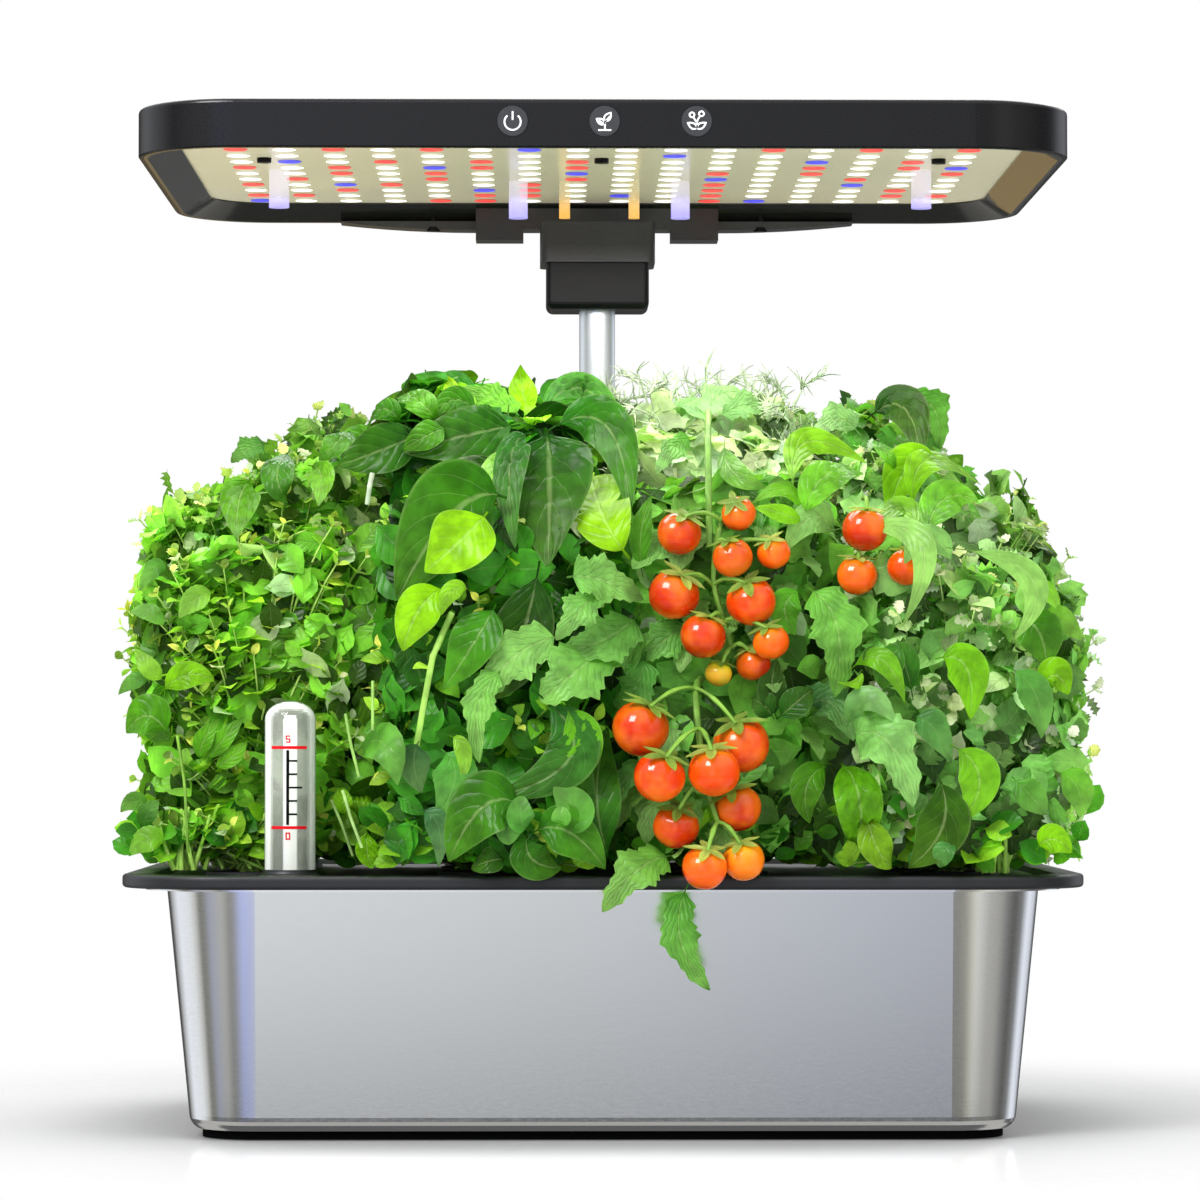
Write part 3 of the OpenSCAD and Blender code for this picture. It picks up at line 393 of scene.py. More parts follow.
def fruit_finish():
    """Taut, glossy tomato skin."""
    material, tree, shader = new_finish(
        "tomato_skin", Specular_IOR_Level=0.4, Coat_Weight=0.35, Coat_Roughness=0.03,
        Subsurface_Weight=0.06, Subsurface_Scale=0.002)
    tone = add(tree, "VertexColor", layer_name="tone").outputs["Color"]
    place = own_place(tree)
    blotch = noise(tree, place, 90.0)
    specks = cells(tree, place, 900.0)
    ripe = blend_colours(tree, ramp(tree, blotch, 0.35, 0.7, 0.04, 0.4), tone, linear("#ff8a1c"))
    skin = blend_colours(tree, ramp(tree, specks, 0.12, 0.03, 0.0, 0.25), ripe, linear("#ffd08a"))
    join(tree, shader, skin, ramp(tree, blotch, 0.3, 0.7, 0.12, 0.2))
    return material


FINISHES = {
    # colour, roughness, grain, mottling, depth
    "mat": moulded("mat_rubber", "#060607", 0.9, 700.0, 0.2, 0.08, Specular_IOR_Level=0.03),
    "steel": brushed("tank_steel", "#f2f3f4", 0.15, (260.0, 260.0, 1100.0), 0.003),
    "deck": moulded("deck_plastic", "#1b1c1f", 0.4, 1100.0, 0.12, 0.03),
    "basket": moulded("basket_plastic", "#151618", 0.5, 1000.0, 0.15, 0.04),
    "foam": foam_finish(),
    "pole": brushed("pole_chrome", "#eef4fc", 0.32, (2200.0, 2200.0, 25.0), 0.002, metallic=0.75),
    "shell": moulded("lamp_shell", "#0b0b0e", 0.26, 1500.0, 0.08, 0.012, Specular_IOR_Level=0.42),
    "head": moulded("head_plastic", "#0d0e10", 0.35, 1500.0, 0.08, 0.012, Specular_IOR_Level=0.25),
    "bracket": moulded("bracket_plastic", "#2a2b2c", 0.3, 1500.0, 0.08, 0.012),
    "bezel": moulded("bezel_gloss", "#1d1d1a", 0.14, 1200.0, 0.1, 0.004,
                     Coat_Weight=0.3, Coat_Roughness=0.05),
    # Painted glow: the board is no lamp, and its emission stands in for the diodes' light falling on it.
    "board": moulded("board_painted_glow", "#c4bda4", 0.22, 500.0, 0.08, 0.002,
                     Emission_Color=linear("#b8ae92"), Emission_Strength=0.33),
    "circuit": moulded("circuit_green", "#1f5a34", 0.4, 600.0, 0.15, 0.03),
    "screw": moulded("black_steel", "#1b1b1d", 0.35, 900.0, 0.1, 0.01, Metallic=0.9),
    "button": moulded("button_cap", "#2b2c30", 0.42, 1600.0, 0.08, 0.012),
    "inlet": moulded("inlet_plastic", "#131314", 0.45, 1100.0, 0.12, 0.03),
    "nylon": moulded("white_nylon", "#dcdcd6", 0.4, 900.0, 0.06, 0.02),
    "float": moulded("float_yellow", "#f0dc28", 0.4, 800.0, 0.08, 0.02),
    "white_light": light_finish("light_white", "#fffcf2", "#e8e4d2", 1.0),
    "red_light": light_finish("light_red", "#ff1208", "#e0604c", 0.8),
    "blue_light": light_finish("light_blue", "#1a10f0", "#6a68d0", 0.8),
    # The posts' glow strengths are painted light: the posts are no lamps.
    "post": post_finish("clear_posts", "#a49cf4", "#e6e0f4", 0.5),
    "amber": post_finish("amber_posts", "#e8a818", "#d8c890", 0.45),
    "tube": tube_finish("gauge_clear", "#94998e"),
    "hose": clear_finish("riser_clear", "#dfe6e4", 0.15, 0.75),
    "print_black": moulded("print_black", "#060606", 0.6, 900.0, 0.1, 0.003, Specular_IOR_Level=0.1),
    "print_red": moulded("print_red", "#d00818", 0.6, 900.0, 0.1, 0.003, Specular_IOR_Level=0.1),
    "print_white": moulded("print_white", "#eef0f0", 0.5, 900.0, 0.05, 0.003),
    # rows, slant and width of the veins, gloss, depth, share of the veins, light through, shine
    "basil": leaf_finish("basil_leaf", 6.0, 0.34, 0.06, 0.2, 0.18, 0.16, 0.3, 0.15),
    "herb": leaf_finish("herb_leaf", 5.0, 0.3, 0.1, 0.28, 0.14, 0.08, 0.45),
    "tomato": leaf_finish("tomato_leaf", 7.0, 0.45, 0.1, 0.36, 0.28, 0.14, 0.4),
    "stem": leaf_finish("green_stem", 1.0, 0.0, 0.02, 0.4, 0.05, 0.1, 0.15),
    "fruit": fruit_finish(),
}
NODE_FINISH = {
    "base_mat": "mat", "tank_shell": "steel", "deck": "deck", "pole_socket": "deck",
    "socket_screws": "screw", "dc_inlet": "inlet", "outer_tube": "pole", "ferrule": "deck",
    "sponges": "foam", "pump_body": "inlet", "pump_strainer": "basket", "pump_riser": "hose",
    "impeller": "nylon", "gauge_tube": "tube", "gauge_collar": "deck", "gauge_float": "float",
    "inner_pole": "pole", "guide_ring": "nylon", "pole_head": "head", "lamp_bracket": "bracket",
    "bracket_screws": "screw", "lamp_housing": "shell", "lamp_bezel": "bezel",
    "light_board": "board", "board_screws": "screw", "white_lights": "white_light",
    "red_lights": "red_light", "blue_lights": "blue_light", "clear_posts": "post",
    "amber_posts": "amber", "button_board": "circuit", "power_button": "button",
    "leaf_button": "button", "fruit_button": "button",
    **{f"basket_{k}": "basket" for k in PLANTS},
}
for node_name, finish_name in NODE_FINISH.items():
    node_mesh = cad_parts[node_name].data
    node_mesh.materials.clear()
    node_mesh.materials.append(FINISHES[finish_name])


# ---- Meshes ----

class Shape:
    """Parts gathered into one piece: points in millimetres, four-cornered faces, each
    point's tone and its place on its own leaf, and each face's finish."""

    def __init__(self):
        self.points, self.faces, self.tones, self.places, self.cells, self.kinds = (
            [], [], [], [], [], [])
        self.count = self.parts = 0

    def add(self, points, faces, tone, place, kind):
        """Adds one part, such as a leaf or a stalk. kind is its finish's number."""
        self.points.append(points)
        self.faces.append(faces + self.count)
        self.tones.append(np.broadcast_to(tone, (len(points), 3)))
        self.places.append(place)
        self.cells.append(np.full(len(points), self.parts))
        self.kinds.append(np.full(len(faces), kind))
        self.count += len(points)
        self.parts += 1

    def piece(self, name, kinds, body, replaces=()):
        """One object of all parts. kinds lists the finishes by their numbers."""
        points = np.concatenate(self.points) * MM
        faces = np.concatenate(self.faces)
        mesh = bpy.data.meshes.new(name)
        mesh.vertices.add(len(points))
        mesh.vertices.foreach_set("co", points.astype(np.float32).ravel())
        mesh.loops.add(faces.size)
        mesh.loops.foreach_set("vertex_index", faces.astype(np.int32).ravel())
        mesh.polygons.add(len(faces))
        mesh.polygons.foreach_set("loop_start", np.arange(0, faces.size, 4, dtype=np.int32))
        mesh.polygons.foreach_set("material_index", np.concatenate(self.kinds).astype(np.int32))
        mesh.update(calc_edges=True)
        mesh.polygons.foreach_set("use_smooth", np.ones(len(faces), bool))
        place = np.concatenate(self.places)
        cell = np.concatenate(self.cells)
        side = math.ceil(math.sqrt(self.parts))
        corner = np.stack([cell % side, cell // side], 1)
        spread = (corner + 0.04 + 0.92 * place) / side
        corners = faces.ravel()
        for label, values in (("blade", place), ("OFBake", spread)):
            layer = mesh.uv_layers.new(name=label)
            layer.data.foreach_set("uv", values[corners].astype(np.float32).ravel())
        tones = np.concatenate(self.tones)
        layer = mesh.color_attributes.new("tone", "FLOAT_COLOR", "POINT")
        layer.data.foreach_set("color", np.column_stack(
            [tones, np.ones(len(tones))]).astype(np.float32).ravel())
        for kind in kinds:
            mesh.materials.append(FINISHES[kind])
        item = bpy.data.objects.new(name, mesh)
        bpy.context.scene.collection.objects.link(item)
        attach(item, body)
        if replaces:
            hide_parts(*replaces)


def unit(vector):
    """The vector at length 1."""
    return vector / max(np.linalg.norm(vector), 1e-9)


def grid_faces(rows, cols):
    """Faces of a sheet of (rows + 1) by (cols + 1) points."""
    corner = np.arange(rows)[:, None] * (cols + 1) + np.arange(cols)[None, :]
    return np.stack([corner, corner + 1, corner + cols + 2, corner + cols + 1], -1).reshape(-1, 4)


def grid_place(rows, cols):
    """Each point's place on such a sheet: across 0 to 1, along 0 to 1."""
    along, across = np.meshgrid(np.linspace(0, 1, rows + 1), np.linspace(0, 1, cols + 1),
                                indexing="ij")
    return np.stack([across, along], -1).reshape(-1, 2)


# A stalk's sides are set off from the first way, or from the second where it runs along the first
ASIDE, ASIDE_TOO = (0.31, 0.17, 0.93), (1.0, 0.0, 0.0)


def tube(shape, path, radii, tone, kind, sides=5):
    """A round stalk along a path, closed by its taper."""
    path = np.asarray(path, float)
    radii = np.broadcast_to(radii, len(path))
    ways = np.gradient(path, axis=0)
    ways /= np.maximum(np.linalg.norm(ways, axis=1, keepdims=True), 1e-9)
    across = np.cross(ways, ASIDE)
    short = np.linalg.norm(across, axis=1) < 0.05
    across[short] = np.cross(ways[short], ASIDE_TOO)
    across /= np.linalg.norm(across, axis=1, keepdims=True)
    third = np.cross(ways, across)
    turn = np.linspace(0, 2 * math.pi, sides + 1)
    ring = (across[:, None] * np.cos(turn)[None, :, None]
            + third[:, None] * np.sin(turn)[None, :, None])
    points = path[:, None] + ring * radii[:, None, None]
    rows = len(path) - 1
    shape.add(points.reshape(-1, 3), grid_faces(rows, sides), tone, grid_place(rows, sides), kind)


def arch(start, middle, end, steps):
    """Points of a smooth curve from start to end that leans towards middle."""
    t = np.linspace(0, 1, steps + 1)[:, None]
    return (1 - t) ** 2 * start + 2 * t * (1 - t) * middle + t ** 2 * end


# ---- Leaves ----

# A plant's finishes, and a truss's, by their numbers in its piece
PLANT_FINISHES = ["stem", "herb", "basil", "tomato"]
STEM, HERB, BASIL_LEAF, TOMATO_LEAF = range(4)
TRUSS_FINISHES = ["stem", "herb", "fruit"]
FRUIT_SKIN = 2

def outline(kind, t):
    """Half width of a blade along its length, 1 at its widest."""
    stalk = np.clip((t - 0.12) / 0.88, 0, 1)
    if kind == "basil":
        half = np.sin(math.pi * stalk ** 0.78) ** 0.85
    elif kind == "round":
        half = np.sin(math.pi * stalk ** 0.85) ** 0.62
    elif kind == "mint":
        half = np.sin(math.pi * stalk ** 0.72) ** 0.9 * (1 + 0.1 * ((t * 11) % 1 - 0.5))
    elif kind == "lance":
        half = np.sin(math.pi * stalk ** 0.85)
    elif kind == "toothed":
        half = np.sin(math.pi * stalk ** 0.66) ** 0.8
        half = half * (0.86 + 0.16 * np.sin(t * 17 - 1.2)) * (1 + 0.3 * ((t * 9) % 1 - 0.6))
    elif kind == "oak":
        half = np.where(t < 0.62, 0.95 * np.sin(math.pi * np.clip(stalk / 1.16, 0, 1)) ** 0.7,
                        0.42 + 0.42 * np.abs(np.sin(math.pi * (t - 0.62) / 0.38)) ** 0.8)
        half = half * np.clip((1 - t) / 0.06, 0, 1) ** 0.5
    elif kind == "lobed":
        half = np.sin(math.pi * stalk ** 0.9) ** 0.6 * (
            0.62 + 0.38 * np.cos(2 * math.pi * (t * 3.2 - 0.35)))
    else:
        half = np.sin(math.pi * stalk ** 0.8) ** 0.6 * (1 + 0.16 * np.sin(t * 40))
    return 0.035 + np.clip(half, 0, None)


LEAF_STYLES = {
    # rows, cols, width, bend, fold, ruffle, waves, quilt, vein rows, slant
    "basil": (20, 8, 0.66, 0.9, 0.22, 0.10, 1.6, 0.035, 6.0, 0.34),
    "round": (8, 4, 0.72, 0.5, 0.2, 0.06, 1.2, 0.0, 5.0, 0.3),
    "mint": (11, 4, 0.56, 0.6, 0.18, 0.08, 2.0, 0.02, 5.0, 0.3),
    "lance": (14, 4, 0.42, 0.8, 0.15, 0.05, 1.3, 0.015, 7.0, 0.3),
    "toothed": (18, 4, 0.6, 0.8, 0.16, 0.12, 1.6, 0.02, 7.0, 0.45),
    "oak": (24, 6, 0.7, 0.7, 0.1, 0.08, 1.5, 0.0, 5.0, 0.4),
    "lobed": (20, 4, 0.62, 0.8, 0.12, 0.14, 2.2, 0.0, 7.0, 0.45),
    "frilly": (16, 6, 0.75, 0.7, 0.1, 0.34, 5.0, 0.02, 6.0, 0.3),
}


def lift_of(kind, draw, t, s, half):
    """How far a blade stands off its own middle plane: its fold, wavy edge and quilting."""
    _, _, _, _, fold, ruffle, waves, quilt, veins, slant = LEAF_STYLES[kind]
    phase = draw.uniform(0, 2 * math.pi, 2)
    side = np.abs(s)
    lift = fold * side * half
    lift = lift + ruffle * side ** 1.5 * half * np.sin(
        2 * math.pi * waves * t + np.where(s > 0, phase[0], phase[1]))
    row = (t - slant * side) * veins
    return lift + quilt * (1 - np.abs(2 * (row % 1) - 1) ** 2) * (1 - side ** 4) * np.sin(math.pi * t)


def blade(kind, draw, rows_by):
    """Points of one leaf of length 1: base at the origin, along +Y, upper face to +Z."""
    rows, cols, width, bend = LEAF_STYLES[kind][:4]
    rows = max(4, round(rows * rows_by))
    t = np.linspace(0, 1, rows + 1)[:, None]
    s = np.linspace(-1, 1, cols + 1)[None, :]
    half = 0.5 * width * outline(kind, t)
    lift = lift_of(kind, draw, t, s, half)
    angle = bend * draw.uniform(0.5, 1.4) * t ** 1.4
    step = np.diff(t[:, 0], prepend=0)[:, None]
    run = np.cumsum(np.cos(angle) * step, 0)
    drop = -np.cumsum(np.sin(angle) * step, 0)
    roll = draw.normal(0, 0.25) * t
    x = half * s * np.cos(roll) + lift * np.sin(roll)
    z = lift * np.cos(roll) - half * s * np.sin(roll)
    y = run + z * np.sin(angle)
    z = drop + z * np.cos(angle)
    return np.stack([x, y, z], -1).reshape(-1, 3), rows, cols


def leaf_stock(seed, patterns=7):
    """A few cut patterns of each kind of leaf, so that no two neighbours are the same."""
    draw = np.random.default_rng(seed)
    stock = {}
    for kind in LEAF_STYLES:
        for detail, rows_by in (("fine", 1.0), ("plain", 0.6)):
            made = []
            for _ in range(patterns):
                points, rows, cols = blade(kind, draw, rows_by)
                made.append((points, grid_faces(rows, cols), grid_place(rows, cols)))
            stock[kind, detail] = made
    return stock


STOCK = leaf_stock(11)

# The room that leaves have, and what they keep off, with a leaf's clearance in each size
ROOM_TOP, ROOM_SIDE, ROOM_BACK, ROOM_FRONT = 305, 190, 128, -166
GAUGE_R = 15.6
SOCKET_R, SOCKET_TOP = 20.5, 120
POLE_R = 13
BRACKET_SIDE, BRACKET_FRONT, BRACKET_LOW = 24, 93.5, 276  # with the lamp at its lowest
DECK_REACH, DECK_LIFT = 2, 0.6
TANK_REACH, TANK_TOP = 22, 56
TONE_SPREAD = 0.12


def clear_of_others(points):
    """Whether a leaf stays off the gauge, the pole, the lowered lamp, the deck and the tank."""
    x, y, z = points.T
    if z.max() > ROOM_TOP or np.abs(x).max() > ROOM_SIDE or y.max() > ROOM_BACK or y.min() < ROOM_FRONT:
        return False
    from_gauge = np.hypot(x - GAUGE[0], y - GAUGE[1])
    from_pole = np.hypot(x - POLE[0], y - POLE[1])
    taken = ((from_gauge < GAUGE_R) | (from_pole < POLE_R)
             | ((from_pole < SOCKET_R) & (z < SOCKET_TOP))
             | ((np.abs(x) < BRACKET_SIDE) & (y > BRACKET_FRONT) & (z > BRACKET_LOW))
             | ((y > DECK_FRONT - DECK_REACH) & (z < DECK_TOP + DECK_LIFT))
             | ((y > DECK_FRONT - TANK_REACH) & (z < TANK_TOP)))
    return not taken.any()


def put_leaf(shape, draw, kind, finish, base, way, facing, length, tone, detail="plain"):
    """Adds one leaf at base, pointing along way, its upper face towards facing. A leaf that
    would be in the way is left out."""
    made = STOCK[kind, detail]
    points, faces, place = made[draw.integers(len(made))]
    way = unit(way)
    across = unit(np.cross(way, facing))
    face = np.cross(across, way)
    placed = base + points * length @ np.stack([across, way, face])
    if not clear_of_others(placed) or hides_large_leaf(placed):
        return
    least, most = 1 - TONE_SPREAD, 1 + TONE_SPREAD
    shade = tone * draw.uniform(least, most)
    shade = shade * [draw.uniform(least, most), 1, draw.uniform(0.9, 1.1)]
    shape.add(placed, faces, np.clip(shade, 0, 1), place, finish)


# ---- Large leaves ----

# Each leaf that shows whole: its kind, where its base, middle and tip show in the plane of the
# crowns' front, across and up, its width there, how far it stands off the leaves behind it and
# its tone. A tone is the leaf as it shows in the light, so lit leaves are paler and shaded ones
# darker: painted light and shade, which own_tone only scales.
SHOWN_LEAVES = [
    # canopy, centre left
    ("lance", (-56, 270), (-56, 276), (-58, 282), 6, 0, "#9ad62a"),
    ("lance", (-27, 266), (-30, 275), (-31, 286), 10, 0, "#8fd21a"),
    ("toothed", (-30, 266), (-42, 274), (-54, 276), 12, 0, "#6cc426"),
    ("basil", (-61, 264), (-68, 272), (-76, 274), 11, 0, "#58ac26"),
    ("basil", (-74, 263), (-81, 269), (-88, 260), 10, 0, "#3f961a"),
    ("basil", (-46, 267), (-55, 273), (-63, 266), 10, 0, "#3d941c"),
    ("basil", (-31, 264), (-50, 260), (-74, 254), 21, 3, "#2a7a22"),
    ("basil", (-58, 263), (-65, 260), (-74, 255), 11, 6, "#4f9f30"),
    ("basil", (-65, 262), (-81, 255), (-98, 249), 18, 3, "#28761f"),
    ("basil", (-85, 260), (-91, 257), (-101, 250), 12, 6, "#58a83a"),
    ("basil", (-32, 255), (-39, 248), (-48, 240), 10, 2, "#7fce1a"),
    ("basil", (-35, 250), (-49, 245), (-62, 243), 16, 0, "#1f5c10"),
    ("basil", (-22, 263), (-20, 245), (-21, 212), 31, 8, "#27702c"),
    ("basil", (-27, 261), (-34, 250), (-33, 219), 13, 12, "#34824a"),
    ("basil", (-27, 263), (-8, 276), (10, 250), 13, 4, "#3f9a30"),
    ("basil", (-22, 261), (0, 264), (9, 232), 17, 6, "#2f8330"),
    ("oak", (9, 215), (0, 229), (-5, 245), 23, 14, "#8cc818"),
    ("basil", (-36, 237), (-55, 232), (-76, 200), 34, 4, "#2f7d16"),
    ("basil", (-43, 232), (-52, 222), (-66, 210), 24, 9, "#8ed012"),
    ("basil", (-58, 205), (-68, 196), (-74, 181), 16, 6, "#8ccf12"),
    ("basil", (-40, 198), (-47, 185), (-59, 167), 18, 7, "#3f9626"),
    ("basil", (-49, 203), (-56, 203), (-60, 194), 7, 12, "#86c43a"),
    ("basil", (-24, 214), (-31, 185), (-42, 163), 22, 0, "#1d5a16"),
    # middle left column
    ("round", (-90, 177), (-95, 184), (-105, 185), 7, 8, "#5aa060"),
    ("round", (-90, 177), (-96, 175), (-103, 173), 10, 8, "#3f8a48"),
    ("mint", (-95, 157), (-101, 163), (-102, 174), 12, 6, "#3d8a38"),
    ("mint", (-95, 157), (-101, 159), (-105, 149), 7, 8, "#5a9c58"),
    ("mint", (-91, 144), (-81, 147), (-76, 132), 15, 8, "#5fae38"),
    ("mint", (-68, 148), (-70, 140), (-67, 129), 12, 7, "#1f5a2a"),
    ("mint", (-60, 145), (-55, 135), (-62, 119), 16, 8, "#4fa838"),
    ("round", (-57, 150), (-52, 145), (-52, 134), 6, 10, "#8ccc1c"),
    ("round", (-93, 185), (-101, 192), (-107, 192), 10, 4, "#3c8c2c"),
    # tomato leaves, middle
    ("toothed", (-36, 175), (-46, 162), (-46, 140), 13, 10, "#74b84e"),
    ("toothed", (-14, 187), (-33, 179), (-44, 163), 21, 8, "#7cbc5a"),
    ("basil", (-27, 167), (-12, 144), (-41, 127), 19, 10, "#2f7d3c"),
    ("basil", (-16, 162), (-8, 148), (-11, 131), 14, 12, "#62b030"),
    ("toothed", (3, 185), (-11, 173), (-24, 163), 26, 8, "#66ac44"),
    ("toothed", (-14, 208), (-2, 207), (14, 200), 21, 8, "#74b854"),
    ("toothed", (13, 195), (0, 185), (-16, 181), 22, 6, "#5fa642"),
    ("toothed", (-2, 203), (-9, 196), (-18, 185), 15, 9, "#6cb04c"),
    ("toothed", (15, 181), (11, 167), (3, 162), 16, 6, "#4a9634"),
    ("lance", (14, 208), (13, 223), (17, 238), 8, 6, "#4f9e34"),
    ("toothed", (31, 192), (22, 185), (13, 178), 16, 4, "#5aa43c"),
    # basil at the rim, centre
    ("basil", (-30, 124), (-44, 124), (-57, 104), 24, 12, "#35861c"),
    ("basil", (-36, 105), (-42, 104), (-49, 96), 10, 10, "#256a1c"),
    ("basil", (-27, 114), (-14, 115), (0, 98), 18, 12, "#3c8f26"),
    ("basil", (-28, 115), (-27, 105), (-16, 95), 15, 11, "#2d7a20"),
    ("round", (-31, 121), (-35, 117), (-35, 110), 10, 14, "#459a2c"),
    ("round", (-28, 115), (-31, 120), (-30, 128), 10, 17, "#4aa034"),
    ("round", (-17, 114), (-11, 122), (-19, 131), 14, 13, "#4fa32c"),
    ("round", (-16, 117), (-16, 120), (-17, 124), 7, 18, "#5cac38"),
    ("mint", (-68, 123), (-61, 117), (-61, 102), 9, 10, "#2f7440"),
    ("lance", (3, 96), (-3, 126), (1, 153), 17, 8, "#2f7d2c"),
    ("lance", (-2, 100), (-11, 124), (-5, 155), 15, 6, "#3a8c2e"),
    ("toothed", (5, 105), (2, 118), (7, 131), 11, 12, "#8cbc6c"),
    # bright leaves by the gauge
    ("basil", (-93, 114), (-96, 105), (-93, 96), 10, 10, "#84cc1c"),
    ("basil", (-87, 117), (-87, 107), (-85, 96), 8, 9, "#78c01c"),
    ("basil", (-99, 118), (-104, 124), (-105, 131), 9, 7, "#6cba1c"),
    ("basil", (-95, 120), (-96, 126), (-96, 131), 7, 8, "#84c824"),
    ("basil", (-88, 118), (-89, 124), (-86, 131), 7, 8, "#7cc024"),
    ("basil", (-101, 96), (-102, 102), (-104, 108), 6, 8, "#78bc28"),
    ("basil", (-126, 106), (-134, 123), (-142, 108), 17, 6, "#7cc410"),
    # left side
    ("basil", (-159, 149), (-167, 157), (-175, 151), 16, 5, "#4f9f1c"),
    ("lance", (-148, 140), (-147, 148), (-141, 156), 7, 6, "#5aa824"),
    ("lance", (-146, 140), (-140, 148), (-132, 157), 7, 6, "#5aa824"),
    ("lance", (-144, 138), (-137, 142), (-131, 148), 7, 6, "#62ac2c"),
    ("basil", (-163, 165), (-153, 172), (-143, 170), 10, 7, "#7cc01c"),
    ("basil", (-137, 160), (-130, 168), (-121, 173), 10, 7, "#7cc01c"),
    ("mint", (-161, 170), (-167, 175), (-172, 182), 7, 5, "#84c024"),
    ("mint", (-166, 170), (-172, 170), (-178, 165), 6, 4, "#4f962a"),
    ("mint", (-114, 192), (-119, 200), (-127, 195), 10, 9, "#6cbe1c"),
    ("mint", (-113, 195), (-115, 200), (-116, 207), 6, 10, "#84cc1c"),
    ("mint", (-110, 195), (-105, 197), (-100, 189), 7, 8, "#5aae2c"),
    ("mint", (-131, 185), (-126, 183), (-119, 175), 7, 8, "#78b02e"),
    ("mint", (-137, 210), (-131, 214), (-127, 224), 10, 6, "#74be2c"),
    ("mint", (-110, 214), (-107, 219), (-102, 225), 10, 7, "#78c41c"),
    ("mint", (-160, 209), (-165, 211), (-170, 203), 7, 4, "#4a922a"),
    ("mint", (-160, 189), (-167, 195), (-174, 195), 7, 4, "#6cae44"),
    ("mint", (-143, 203), (-150, 200), (-156, 193), 9, 6, "#8ccc3c"),
    ("basil", (-115, 255), (-120, 245), (-116, 235), 12, 3, "#3f8a3c"),
    ("basil", (-109, 249), (-104, 245), (-105, 234), 10, 4, "#66b02a"),
    ("basil", (-129, 245), (-134, 236), (-135, 222), 14, 2, "#5aa624"),
    ("toothed", (-123, 257), (-131, 255), (-137, 250), 10, 2, "#3c7c2c"),
    ("basil", (-93, 262), (-98, 257), (-105, 251), 10, 2, "#4f9c34"),
    ("mint", (-166, 124), (-172, 126), (-177, 122), 7, 4, "#4a8c1c"),
    ("mint", (-160, 110), (-167, 112), (-174, 106), 10, 4, "#78c014"),
    ("mint", (-170, 115), (-167, 122), (-163, 126), 7, 4, "#3c8420"),
    # right side, upper
    ("lance", (111, 268), (105, 273), (99, 269), 7, 0, "#5aa81c"),
    ("basil", (96, 266), (109, 270), (116, 252), 17, 2, "#226418"),
    ("toothed", (110, 269), (120, 271), (123, 255), 15, 2, "#3f9020"),
    ("lance", (98, 259), (102, 255), (108, 247), 6, 4, "#5cb01c"),
    ("basil", (123, 244), (112, 249), (104, 231), 17, 4, "#84ca14"),
    ("lance", (70, 236), (73, 257), (96, 250), 11, 10, "#86c834"),
    ("basil", (73, 228), (80, 244), (95, 246), 14, 8, "#74c24c"),
    ("lance", (73, 230), (66, 240), (54, 235), 7, 9, "#6cb834"),
    ("lance", (73, 228), (66, 231), (54, 234), 7, 10, "#7cc428"),
    ("lance", (114, 228), (117, 250), (138, 242), 11, 10, "#86c834"),
    ("basil", (117, 221), (124, 236), (137, 236), 14, 8, "#74c24c"),
    ("lance", (117, 220), (110, 233), (100, 227), 10, 9, "#7cbc4c"),
    ("basil", (86, 221), (76, 230), (66, 217), 12, 7, "#84bc98"),
    ("lance", (82, 225), (115, 222), (109, 190), 10, 12, "#8cc094"),
    ("basil", (129, 211), (119, 222), (110, 213), 12, 7, "#84bc98"),
    ("lance", (125, 219), (156, 208), (150, 185), 10, 12, "#8cc094"),
    ("basil", (73, 204), (66, 197), (70, 187), 12, 10, "#58ae38"),
    ("toothed", (73, 205), (85, 190), (84, 164), 21, 12, "#66b03c"),
    ("mint", (162, 189), (167, 192), (175, 185), 11, 4, "#68aa1c"),
    ("mint", (156, 204), (162, 203), (167, 195), 7, 5, "#78bc1c"),
    ("basil", (151, 194), (159, 188), (162, 175), 17, 4, "#45902a"),
    ("basil", (113, 163), (109, 178), (104, 181), 11, 4, "#2f7a2c"),
    ("round", (95, 167), (91, 170), (86, 167), 8, 9, "#84c40c"),
    ("lance", (89, 173), (101, 178), (110, 162), 9, 8, "#6cb430"),
    ("lance", (101, 172), (98, 179), (101, 181), 7, 5, "#3c8434"),
    ("basil", (62, 156), (58, 161), (54, 163), 10, 9, "#2c7030"),
    ("basil", (63, 156), (61, 167), (63, 178), 11, 8, "#245f26"),
    ("basil", (63, 156), (70, 162), (76, 167), 11, 9, "#2c7030"),
    ("toothed", (74, 159), (82, 162), (91, 148), 18, 7, "#2d6f30"),
    ("mint", (88, 151), (96, 163), (107, 154), 11, 10, "#7cb86c"),
    ("toothed", (88, 148), (103, 148), (113, 124), 24, 11, "#78b860"),
    ("basil", (85, 141), (93, 126), (91, 107), 17, 13, "#62ae24"),
    ("basil", (83, 140), (74, 132), (75, 118), 12, 10, "#4f9a22"),
    ("basil", (126, 147), (137, 135), (131, 119), 15, 9, "#70b82a"),
    ("lance", (121, 137), (124, 118), (111, 98), 19, 8, "#356f18"),
    ("basil", (121, 178), (132, 175), (134, 156), 16, 7, "#74bf1c"),
    ("mint", (113, 157), (120, 153), (127, 140), 12, 7, "#3f8838"),
    ("basil", (96, 123), (99, 110), (105, 96), 12, 8, "#74a824"),
    ("mint", (129, 112), (124, 107), (123, 99), 8, 8, "#3c8a38"),
    ("basil", (110, 185), (104, 176), (102, 167), 11, 5, "#45903c"),
    ("basil", (159, 166), (165, 172), (170, 165), 13, 4, "#78bc10"),
    ("basil", (158, 108), (164, 112), (171, 107), 11, 4, "#80c810"),
    ("mint", (165, 137), (173, 131), (174, 120), 12, 4, "#5fa824"),
    ("mint", (148, 175), (158, 165), (160, 149), 12, 5, "#4f9a38"),
